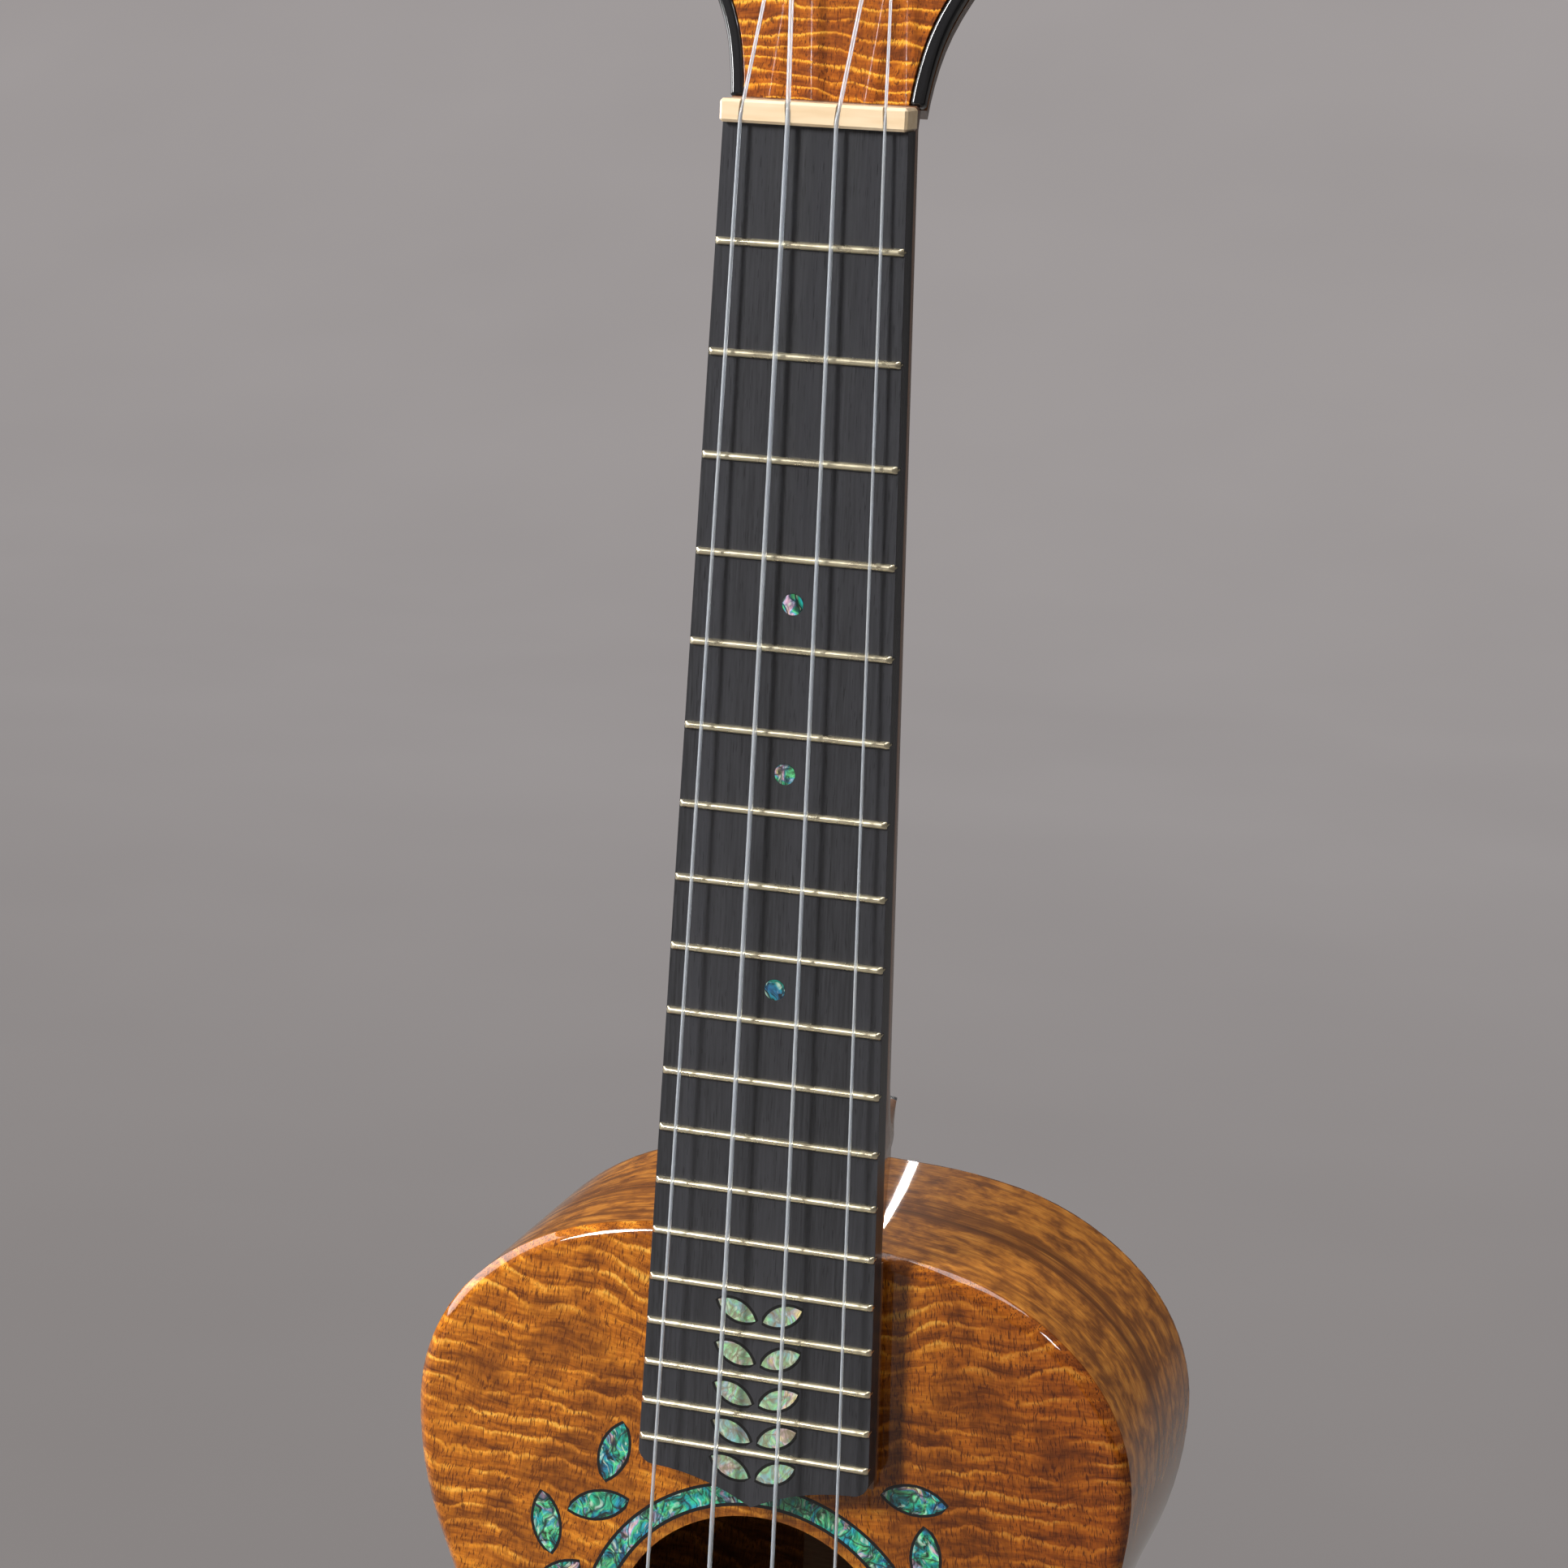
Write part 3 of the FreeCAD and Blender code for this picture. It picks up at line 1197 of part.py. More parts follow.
def make_saddle():
    body = new_body("saddle")
    sketch = new_sketch(body, "YZ_Plane", "saddle_section")
    draw_polygon(sketch, saddle_corners("0", "saddle_rise - crown_drop"))
    pad(body, sketch, "2 * saddle_half", middle=True)
    crown = new_sketch(body, "YZ_Plane", "saddle_crown")
    middle = V.saddle_z - V.saddle_set
    half = V.saddle_thick / 2
    low = V.face_y - V.saddle_rise + V.crown_drop
    near = Vector(low, middle + half, 0)
    far = Vector(low, middle - half, 0)
    draw(crown, [(near, Vector(low - V.crown_drop, middle, 0), far), (far, near)])
    pad(body, crown, "2 * saddle_half", middle=True)


def smooth_wire(points, radii):
    """Straight runs through the points, joined by arcs of the given radii at the inner ones."""
    edges = []
    start = points[0]
    for before, corner, after, radius in zip(points, points[1:], points[2:], radii):
        into = (corner - before).normalize()
        away = (after - corner).normalize()
        bend = into.getAngle(away)
        reach = radius * math.tan(bend / 2)
        near = corner - into * reach
        far = corner + away * reach
        inward = (away - into).normalize()
        middle = corner + inward * (radius / math.cos(bend / 2) - radius)
        edges += [Part.LineSegment(start, near).toShape(), Part.Arc(near, middle, far).toShape()]
        start = far
    edges.append(Part.LineSegment(start, points[-1]).toShape())
    return Part.Wire(edges)


# Flat sides of a string
STRING_SIDES = 6


def tube(wire, start, direction, radius):
    """String swept along a wire."""
    ring = Part.makePolygon(ring_about(start, direction, radius, STRING_SIDES))
    return wire.makePipeShell([ring], True, False)


# A knot's flat sides, and the share of its width that its ends have
KNOT_SIDES = 8
KNOT_SHARE = 0.7


# Points at which the turns' room is measured, and the length that counts as one stretch, in string widths
GAP_POINTS = 300
GAP_REACH_SHARE = 5


class String:
    """One string: where it runs from its knot at the bridge to its post."""

    def __init__(self, letter, side, post_half, post_up, nut_x, saddle_x, dia):
        self.letter = letter
        self.side = side
        self.dia = dia
        self.post = Vector(side * post_half, 0, post_up)
        self.coil_rad = V.post_drum_rad + V.glue_gap + dia / 2
        height = V.fret_y - V.open_action - dia / 2
        nut = Vector(side * nut_x, height, V.nut_z + V.nut_thick / 4)
        saddle = Vector(side * saddle_x, V.face_y - V.saddle_rise - V.string_gap - dia / 2,
                        V.saddle_z - V.saddle_set - V.saddle_thick / 3)
        low = Vector(saddle.x, V.face_y - V.string_low, V.saddle_z - V.wall_near - V.wall_thick / 3)
        knot = Vector(low.x, low.y, V.saddle_z - V.wall_near - V.wall_thick - V.string_gap)
        head = head_placement()
        touch = head.multVec(self.post + Vector(-side * self.coil_rad, -V.coil_start, 0))
        stop = math.sqrt((self.coil_rad + dia + V.slip_gap) ** 2 - self.coil_rad ** 2)
        end = touch + (nut - touch).normalize() * stop
        self.path = [knot, low, saddle, nut, end]

    def solid(self):
        radii = (V.saddle_bend, V.saddle_bend, V.nut_bend)
        direction = self.path[1] - self.path[0]
        return tube(smooth_wire(self.path, radii), self.path[0], direction, self.dia / 2)

    def knot(self):
        """The knot behind the bridge's wall, a short barrel round the string's end."""
        shares = ((0, KNOT_SHARE), (0.5, 1), (1.3, 1), (1.8, KNOT_SHARE))
        rings = [Part.makePolygon(ring_about(self.path[0] - Vector(0, 0, along * V.knot_rad), Vector(0, 0, 1),
                                             wide * V.knot_rad, KNOT_SIDES)) for along, wide in shares]
        return Part.makeLoft(rings, True, True)

    def winding_line(self):
        """Middle line of the turns on the post, climbing to the string hole, on the upright headstock."""
        count = int(V.coil_turns * 4)
        places_on = [self.coil_place(k) for k in range(count + 1)]
        edges = []
        for (start, start_dir), (end, end_dir) in zip(places_on, places_on[1:]):
            edges += [Part.Arc(*arc).toShape() for arc in biarc(start, start_dir, end, end_dir)]
        last, last_dir = places_on[-1]
        inward = -self.hole_dir()
        mouth = Vector(self.post.x, -self.hole_up(), self.post.z) - inward * V.post_drum_rad
        edges += [Part.Arc(*arc).toShape() for arc in biarc(last, last_dir, mouth, inward)]
        edges.append(Part.LineSegment(mouth, mouth + inward * V.post_drum_rad).toShape())
        return Part.Wire(edges)

    def winding(self):
        start, start_dir = self.coil_place(0)
        return tube(self.winding_line(), start, start_dir, self.dia / 2)

    def winding_gap(self):
        """Least room that the turns leave between each other, measured on points of their middle line."""
        line = self.winding_line()
        points = line.discretize(Number=GAP_POINTS)
        apart = math.ceil(GAP_REACH_SHARE * self.dia * GAP_POINTS / line.Length)
        return min(near.distanceToPoint(far) for k, near in enumerate(points)
                   for far in points[k + apart:]) - self.dia

    def coil_place(self, quarter):
        """Where the string is after some quarter turns on its post, and its heading."""
        turn = math.pi - math.pi / 2 * quarter
        x, z = math.cos(turn), math.sin(turn)
        rise = V.coil_step / (2 * math.pi * self.coil_rad)
        place = Vector(self.side * self.coil_rad * x, -V.coil_start - V.coil_step * quarter / 4,
                       self.coil_rad * z)
        heading = Vector(self.side * z, -rise, -x).normalize()
        return self.post + place, heading

    def hole_up(self):
        return V.coil_start + V.coil_step * (V.coil_turns + 0.3)

    def hole_dir(self):
        """From the post's middle to the mouth of its string hole."""
        turn = math.pi - 2 * math.pi * V.coil_turns - math.radians(60)
        return Vector(self.side * math.cos(turn), 0, math.sin(turn))


def strings():
    """The four strings, from the bass side."""
    nut = {"g": V.nut_outer, "c": V.nut_inner, "e": V.nut_inner, "a": V.nut_outer}
    saddle = {"g": V.saddle_outer, "c": V.saddle_inner, "e": V.saddle_inner, "a": V.saddle_outer}
    dia = {"g": V.string_g_dia, "c": V.string_c_dia, "e": V.string_e_dia, "a": V.string_a_dia}
    return [String(letter, side, getattr(V, half), getattr(V, up), nut[letter], saddle[letter], dia[letter])
            for letter, side, half, up in post_places()]


def make_strings():
    for string in strings():
        solid = string.solid()
        item = helper(f"{string.letter}_string", solid.fuse(string.knot()).removeSplitter())
        keep(f"{string.letter}_string", item)
        coil = helper(f"{string.letter}_winding", string.winding())
        coil.Placement = head_placement()
        keep(f"{string.letter}_winding", coil)
        print(f"{string.letter}_winding: least gap to itself {string.winding_gap():.2f} mm")


# Tuners, drawn about a post of the treble side on the upright headstock
def post_form():
    """String post: a waist for the string, and a tail for the gear."""
    low = "-coil_start + 2 * coil_step / 3"
    high = "-coil_start - coil_step * (coil_turns + 1)"
    front = "head_thick - slip_gap"
    rear = "worm_y - gear_thick / 2"
    return turned("post_form", ("-post_over", high, "post_rad"), (high, low, "post_drum_rad"),
                  (low, front, "post_rad"), (front, rear, "gear_bore_rad + slip_gap"),
                  (rear, "post_end_y", "gear_bore_rad"))


def bushing_form():
    """Flanged sleeve in the headstock's face that the post turns in."""
    whole = turned("bushing_whole", ("-bush_flange_thick", "0", "bush_flange_rad"),
                   ("0", "bush_deep", "bush_rad"))
    bore = prism("bushing_bore", "-overrun", "bush_deep + overrun", "(post_rad + run_gap) * corner_share")
    return without("bushing_form", whole, bore)


def gear_form():
    """Helical gear: straight-sided teeth on two sections that are turned against each other."""
    count = int(V.tooth_count)
    radius = V.gear_rad
    low = radius - V.thread_sub
    high = radius + V.thread_add
    slant = V.worm_pitch / (2 * math.pi * V.worm_rad) / radius
    wires = []
    for shift in (-V.gear_thick / 2, V.gear_thick / 2):
        ring = []
        for k in range(count):
            middle = -math.pi / 2 + 2 * math.pi * (k + 0.5) / count + shift * slant
            for level, side in ((low, -1), (high, -1), (high, 1), (low, 1)):
                half = V.thread_thick / 2 - (level - radius) * V.thread_slope
                turn = middle + side * half / level
                ring.append(Vector(level * math.cos(turn), V.worm_y + shift, level * math.sin(turn)))
        wires.append(Part.makePolygon(ring + ring[:1]))
    blank = Part.makeLoft(wires, True, True)
    bore = rod(Vector(0, V.worm_y - V.gear_thick, 0), Vector(0, 2 * V.gear_thick, 0),
               (V.gear_bore_rad + V.glue_gap) * V.corner_share)
    return blank.cut(bore)


def gear_screw_form():
    """Screw in the post's tail that holds the gear, its head slotted."""
    head = rod(Vector(0, V.post_end_y, 0), Vector(0, V.screw_tall, 0), V.screw_rad + V.slip_gap)
    slot = Part.makeBox(4 * V.screw_rad, V.screw_tall, V.tang_thick,
                        Vector(-2 * V.screw_rad, V.post_end_y + V.screw_tall / 2, -V.tang_thick / 2))
    return head.cut(slot)


# Sides of a worm's turn: enough that it looks and runs round
WORM_SIDES = 12

# Where a button is widest, as a share of its length from the headstock
BUTTON_WIDEST_SHARE = 0.55


def worm_thread():
    """Right-handed thread about the X axis with its root, as flat facets, ends cut square."""
    flat_root = V.worm_pitch - V.thread_thick - 2 * V.thread_slope * V.thread_sub
    crest = V.thread_thick - 2 * V.thread_slope * V.thread_add
    flank = V.thread_slope * (V.thread_add + V.thread_sub)
    stations = [(0.0, V.worm_root), (flat_root, V.worm_root), (flat_root + flank, V.worm_outer),
                (flat_root + flank + crest, V.worm_outer), (V.worm_pitch, V.worm_root)]
    turns = int(2 * V.worm_half / V.worm_pitch) + 3
    start = -V.worm_pitch * turns / 2 - flat_root / 2 - flank - crest / 2
    start += V.worm_pitch / 2 * (turns % 2)
    rows = []
    for k in range(turns * WORM_SIDES + 1):
        turn = 2 * math.pi * k / WORM_SIDES
        base = start + V.worm_pitch * k / WORM_SIDES
        rows.append([Vector(base + x, r * math.sin(turn), r * math.cos(turn)) for x, r in stations])
    facets = []
    for low, high in zip(rows, rows[1:]):
        for j in range(4):
            facets += [(low[j], low[j + 1], high[j + 1]), (low[j], high[j + 1], high[j])]
    near = Vector(rows[0][0].x, 0, 0)
    far = Vector(rows[-1][-1].x, 0, 0)
    facets += [(near, rows[k + 1][0], rows[k][0]) for k in range(WORM_SIDES)]
    facets += [(far, rows[-1 - WORM_SIDES + k][4], rows[-WORM_SIDES + k][4]) for k in range(WORM_SIDES)]
    faces = [Part.Face(Part.makePolygon(list(facet) + [facet[0]])) for facet in facets]
    faces.append(Part.Face(Part.makePolygon([near] + rows[0] + [near])))
    faces.append(Part.Face(Part.makePolygon([far] + rows[-1] + [far])))
    solid = Part.Solid(Part.Shell(faces))
    if solid.Volume < 0:
        solid.reverse()
    reach = 2 * V.worm_outer
    length = Part.makeBox(2 * V.worm_half, 2 * reach, 2 * reach, Vector(-V.worm_half, -reach, -reach))
    return solid.common(length)


def worm_form():
    """Worm with its shaft, which runs in the plate's ears and out to the button."""
    ear = V.ear_near + V.plate_thick + V.slip_gap
    collar = V.collar_len / 2
    shape = worm_thread()
    for start, end, radius in ((-V.worm_half, -ear, V.shaft_rad), (-ear, -ear - collar, V.stop_rad),
                               (V.worm_half, V.shaft_out, V.shaft_rad), (ear, ear + collar, V.stop_rad)):
        shape = shape.fuse(rod(Vector(start, 0, 0), Vector(end - start, 0, 0), radius))
    shape = shape.removeSplitter()
    shape.translate(Vector(0, V.worm_y, -V.mesh_dist))
    return shape


def button_form():
    """Oval button, bored for its shaft."""
    near = V.button_start
    low = -V.mesh_dist
    middle = near + V.button_len * BUTTON_WIDEST_SHARE
    half = chain([(near, low + V.collar_rad, 60), (middle, low + V.button_half, 0),
                  (near + V.button_len, low, -90)])
    other = [tuple(Vector(p.x, 2 * low - p.y, 0) for p in reversed(arc)) for arc in reversed(half)]
    outline = half + other + [(other[-1][-1], half[0][0])]
    start = Vector(near - V.overrun, V.worm_y, low)
    bore = rod(start, Vector(V.shaft_out + V.glue_gap - start.x, 0, 0),
               (V.shaft_rad + V.glue_gap) * V.corner_share)
    return flat_solids([outline], V.worm_y - V.button_thick / 2, V.button_thick)[0].cut(bore)


def collar_form():
    """Metal collar between the headstock's edge and the button."""
    start = Vector(V.button_start - V.collar_len, V.worm_y, -V.mesh_dist)
    way = Vector(V.collar_len, 0, 0)
    return rod(start, way, V.collar_rad).cut(rod(start, way, (V.shaft_rad + V.glue_gap) * V.corner_share))


def plate_form():
    """Tuner plate with two ears bent up from it, which carry the worm shaft."""
    body = blank_body("plate_blank")
    outline = new_sketch(body, "XZ_Plane", "plate_outline", "-(head_thick + plate_thick)")
    draw_polygon(outline, [
        ("-plate_half", "-plate_down + plate_corner"), ("-plate_half + plate_corner", "-plate_down"),
        ("plate_half - plate_corner", "-plate_down"), ("plate_half", "-plate_down + plate_corner"),
        ("plate_half", "plate_up - plate_corner"), ("plate_half - plate_corner", "plate_up"),
        ("-plate_half + plate_corner", "plate_up"), ("-plate_half", "plate_up - plate_corner"),
    ])
    pad(body, outline, "plate_thick")
    ears = new_sketch(body, "XZ_Plane", "plate_ears", "-(head_thick + plate_thick + ear_tall)")
    for sign in ("", "-"):
        draw_polygon(ears, [(f"{sign}(ear_near)", "-mesh_dist - ear_wide / 2"),
                            (f"{sign}(ear_near + plate_thick)", "-mesh_dist - ear_wide / 2"),
                            (f"{sign}(ear_near + plate_thick)", "-mesh_dist + ear_wide / 2"),
                            (f"{sign}(ear_near)", "-mesh_dist + ear_wide / 2")])
    pad(body, ears, "ear_tall + plate_thick / 2")
    holes = [prism("plate_bore", "head_thick", "head_thick + 2 * plate_thick",
                   "(gear_bore_rad + slip_gap + run_gap) * corner_share")]
    for k, (across, rise) in enumerate(screw_offsets()):
        hole = prism(f"plate_screw_hole_{k}", "head_thick", "head_thick + 2 * plate_thick",
                     "screw_shank_rad + glue_gap", SCREW_SIDES)
        bind(hole, Placement__Base__x=across, Placement__Base__z=rise)
        holes.append(hole)
    axle = prism("ear_bore", "0", "4 * plate_half", "(shaft_rad + run_gap) * corner_share")
    axle.Placement = Placement(Vector(), Rotation(Vector(0, 1, 0), 90))
    bind(axle, Placement__Base__x="-2 * plate_half", Placement__Base__y="worm_y",
         Placement__Base__z="-mesh_dist")
    return without("plate_form", body, joined("plate_holes", axle, *holes))


def screw_forms():
    """Round-headed screws of one plate, their heads slotted."""
    back = V.head_thick + V.plate_thick
    screws = []
    for rise in (V.screw_up, -V.screw_down):
        place = Vector(0, back, rise)
        head = rod(place, Vector(0, V.screw_tall, 0), V.screw_rad)
        shank = rod(place, Vector(0, -V.screw_shank_len, 0), V.screw_shank_rad, SCREW_SIDES)
        slot = Part.makeBox(4 * V.screw_rad, V.screw_tall, V.tang_thick,
                            place + Vector(-2 * V.screw_rad, V.screw_tall / 2, -V.tang_thick / 2))
        screws.append(head.fuse(shank).cut(slot).removeSplitter())
    return screws


def make_tuners():
    """Each tuner's pieces, and the fixed ones of all four together."""
    forms = {"post": post_form(), "bushing": bushing_form(), "plate": plate_form()}
    document.recompute()
    shapes = {name: [form.Shape] for name, form in forms.items()}
    shapes["button"] = [button_form()]
    shapes["gear"] = [gear_form(), gear_screw_form()]
    shapes["worm"] = [worm_form(), collar_form()]
    shapes["screws"] = screw_forms()
    fixed = {"plate": [], "bushing": [], "screws": []}
    for string in strings():
        move = head_placement() * Placement(string.post, Rotation())
        for name, solids in shapes.items():
            placed = [s.mirror(Vector(), Vector(1, 0, 0)) if string.side < 0 else s.copy() for s in solids]
            if name == "post":
                placed = [placed[0].cut(string_hole(string))]
            if name in fixed:
                for solid in placed:
                    solid.Placement = move * solid.Placement
                fixed[name] += placed
                continue
            label = f"{string.letter}_{name}"
            item = helper(label, placed[0] if len(placed) == 1 else Part.makeCompound(placed))
            item.Placement = move
            keep(label, item)
    group("tuner_plates", fixed["plate"])
    group("post_bushings", fixed["bushing"])
    group("tuner_screws", fixed["screws"])


def string_hole(string):
    """The hole through a post for its string, about the post's own middle."""
    way = string.hole_dir()
    start = Vector(0, -string.hole_up(), 0) - way * (2 * V.post_rad)
    return rod(start, way * (4 * V.post_rad), V.post_hole_rad, SCREW_SIDES)


def make_all():
    inside_rib = helper("room_inside_ribs", cavity(V.rib_thick + V.glue_gap))
    inside_lining = helper("room_inside_linings", cavity(V.rib_thick + V.lining_wide + 2 * V.glue_gap))
    between_plates = helper("room_between_plates", cavity(0.0))
    make_soundboard()
    make_soundhole_ring()
    make_rosette()
    make_back_plate()
    make_ribs()
    make_linings()
    make_blocks(inside_rib)
    make_top_braces(inside_lining)
    make_patches()
    make_back_braces()
    make_tail_graft(between_plates)
    seat = box_at("nut_seat", "board_half_nut + nut_proud + overrun", "fret_y - nut_over - overrun",
                  "board_y - fret_y + nut_over + overrun", "nut_z", "nut_thick")
    make_neck(seat)
    make_heel_cap()
    make_headstock_trim(seat)
    make_riser()
    make_fingerboard()
    make_position_dots()
    make_frets()
    make_nut()
    make_bridge()
    make_saddle()
    make_strings()
    make_tuners()
    document.recompute()


def check():
    """Stops where an object failed or a piece has no sound shape."""
    for item in document.Objects:
        if {"Invalid", "Error"} & set(item.State):
            raise RuntimeError(f"{item.Name} failed: {item.State}")
    for label, item in nodes.items():
        if item.Shape.isNull() or not item.Shape.isValid() or not item.Shape.Solids:
            raise RuntimeError(f"{label} has no sound shape")


make_all()
check()
os.makedirs("parts", exist_ok=True)
for label, item in nodes.items():
    item.Shape.exportStep(f"parts/{label}.step")
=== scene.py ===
"""Concert ukulele: finishes, rounded edges, shell inlays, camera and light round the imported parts."""
import json
import math

import bmesh
import bpy
from mathutils import Matrix, Vector


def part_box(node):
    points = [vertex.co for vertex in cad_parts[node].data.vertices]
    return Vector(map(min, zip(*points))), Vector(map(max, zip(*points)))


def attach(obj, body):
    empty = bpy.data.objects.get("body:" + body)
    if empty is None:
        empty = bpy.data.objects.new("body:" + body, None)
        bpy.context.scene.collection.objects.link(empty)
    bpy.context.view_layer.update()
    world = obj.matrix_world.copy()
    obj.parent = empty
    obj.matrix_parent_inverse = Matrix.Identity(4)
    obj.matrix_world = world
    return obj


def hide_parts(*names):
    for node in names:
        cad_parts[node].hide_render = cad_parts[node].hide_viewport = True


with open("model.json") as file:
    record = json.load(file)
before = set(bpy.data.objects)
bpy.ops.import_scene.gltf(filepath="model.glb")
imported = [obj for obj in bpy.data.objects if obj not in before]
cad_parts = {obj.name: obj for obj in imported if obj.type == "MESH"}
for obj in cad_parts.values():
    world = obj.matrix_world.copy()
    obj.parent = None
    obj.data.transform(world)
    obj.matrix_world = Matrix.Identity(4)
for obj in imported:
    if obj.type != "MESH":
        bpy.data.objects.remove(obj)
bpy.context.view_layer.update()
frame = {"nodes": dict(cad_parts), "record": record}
MM = 0.001
SLOT_OF = {part["node"]: part["material_slot"] for part in frame["record"]["subparts"]}
BODY_OF = {node: body for body, members in frame["record"]["behaviour"]["bodies"].items()
           for node in members}

# Places in millimetres that the source has too
NUT_Z = 497.0
HOLE_Z = 196.9
BOARD_HALF_END = 23.45
BOARD_TIP = 265.2
SCALE = 381.0
FIRST_LEAF_FRET = 15
LAST_FRET = 19
FACE_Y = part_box("soundboard")[0].y / MM
BOARD_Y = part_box("fingerboard")[0].y / MM

# Sockets of Blender's Mix node when it mixes colours
MIX_SHARE, MIX_FIRST, MIX_SECOND, MIX_RESULT = 0, 6, 7, 2


# Materials
class Paint:
    """A material with short calls for its nodes; lengths in its textures are millimetres."""

    def __init__(self, name, roughness=0.4, metallic=0.0, coat=0.0, coat_roughness=0.05, ior=1.5,
                 gloss=0.5):
        self.material = bpy.data.materials.new(name)
        self.material.use_nodes = True
        self.tree = self.material.node_tree
        self.shader = self.tree.nodes["Principled BSDF"]
        self.shader.inputs["Roughness"].default_value = roughness
        self.shader.inputs["Metallic"].default_value = metallic
        self.shader.inputs["Coat Weight"].default_value = coat
        self.shader.inputs["Coat Roughness"].default_value = coat_roughness
        self.shader.inputs["IOR"].default_value = ior
        self.shader.inputs["Specular IOR Level"].default_value = gloss
        place = self.add("ShaderNodeTexCoord")
        self.place = self.vector(place.outputs["Object"], "MULTIPLY", (1 / MM,) * 3)

    def add(self, kind, **settings):
        node = self.tree.nodes.new(kind)
        for name, value in settings.items():
            setattr(node, name, value)
        return node

    def feed(self, socket, value):
        """Links a socket to another node's, or sets its value."""
        if isinstance(value, bpy.types.NodeSocket):
            self.tree.links.new(value, socket)
        elif value is not None:
            socket.default_value = value

    def vector(self, first, operation, second):
        node = self.add("ShaderNodeVectorMath", operation=operation)
        self.feed(node.inputs[0], first)
        self.feed(node.inputs[1], second)
        return node.outputs[0]

    def math(self, operation, first, second=None, clamp=False):
        node = self.add("ShaderNodeMath", operation=operation, use_clamp=clamp)
        self.feed(node.inputs[0], first)
        self.feed(node.inputs[1], second)
        return node.outputs[0]

    def axis(self, place, letter):
        """One coordinate of a place."""
        node = self.add("ShaderNodeSeparateXYZ")
        self.feed(node.inputs[0], place)
        return node.outputs[letter]

    def turned(self, place, angles):
        node = self.add("ShaderNodeMapping")
        self.feed(node.inputs["Vector"], place)
        node.inputs["Rotation"].default_value = angles
        return node.outputs["Vector"]

    def noise(self, place, pitch, detail=3.0, roughness=0.55, distortion=0.0, colour=False):
        """Noise whose features are about as large as pitch, one length per axis."""
        node = self.add("ShaderNodeTexNoise")
        self.feed(node.inputs["Vector"], self.vector(place, "DIVIDE", pitch))
        node.inputs["Scale"].default_value = 1.0
        node.inputs["Detail"].default_value = detail
        node.inputs["Roughness"].default_value = roughness
        node.inputs["Distortion"].default_value = distortion
        return node.outputs["Color" if colour else "Fac"]

    def warped(self, place, pitch, reach):
        """The place pushed about by soft noise, up to half of reach each way."""
        push = self.vector(self.noise(place, (pitch,) * 3, 1.5, colour=True), "SUBTRACT", (0.5,) * 3)
        return self.vector(place, "ADD", self.vector(push, "MULTIPLY", reach))

    def ramp(self, value, *stops, smooth=False):
        """Colour ramp: each stop is a place and a colour, or a place and a grey."""
        node = self.add("ShaderNodeValToRGB")
        if smooth:
            node.color_ramp.interpolation = "EASE"
        elements = node.color_ramp.elements
        while len(elements) < len(stops):
            elements.new(0.5)
        for element, (place, colour) in zip(elements, stops):
            element.position = place
            element.color = (*colour, 1) if isinstance(colour, tuple) else (colour, colour, colour, 1)
        self.feed(node.inputs["Fac"], value)
        return node.outputs["Color"]

    def mix(self, share, first, second, blend="MIX"):
        """The first colour with a share of the second over it."""
        node = self.add("ShaderNodeMix", data_type="RGBA", blend_type=blend)
        self.feed(node.inputs[MIX_SHARE], share)
        self.feed(node.inputs[MIX_FIRST], first if not isinstance(first, tuple) else (*first, 1))
        self.feed(node.inputs[MIX_SECOND], second if not isinstance(second, tuple) else (*second, 1))
        return node.outputs[MIX_RESULT]

    def bump(self, height, deep, strength=1.0):
        """Relief of some depth in millimetres."""
        node = self.add("ShaderNodeBump")
        node.inputs["Strength"].default_value = strength
        node.inputs["Distance"].default_value = deep * MM
        self.feed(node.inputs["Height"], height)
        self.feed(self.shader.inputs["Normal"], node.outputs["Normal"])

    def done(self, colour, roughness=None):
        self.feed(self.shader.inputs["Base Color"], colour)
        self.feed(self.shader.inputs["Roughness"], roughness)
        return self.material


def lacquered(name):
    """Wood whose gloss all comes from a clear and almost smooth lacquer."""
    return Paint(name, roughness=0.45, coat=1.0, coat_roughness=0.025, gloss=0.05)


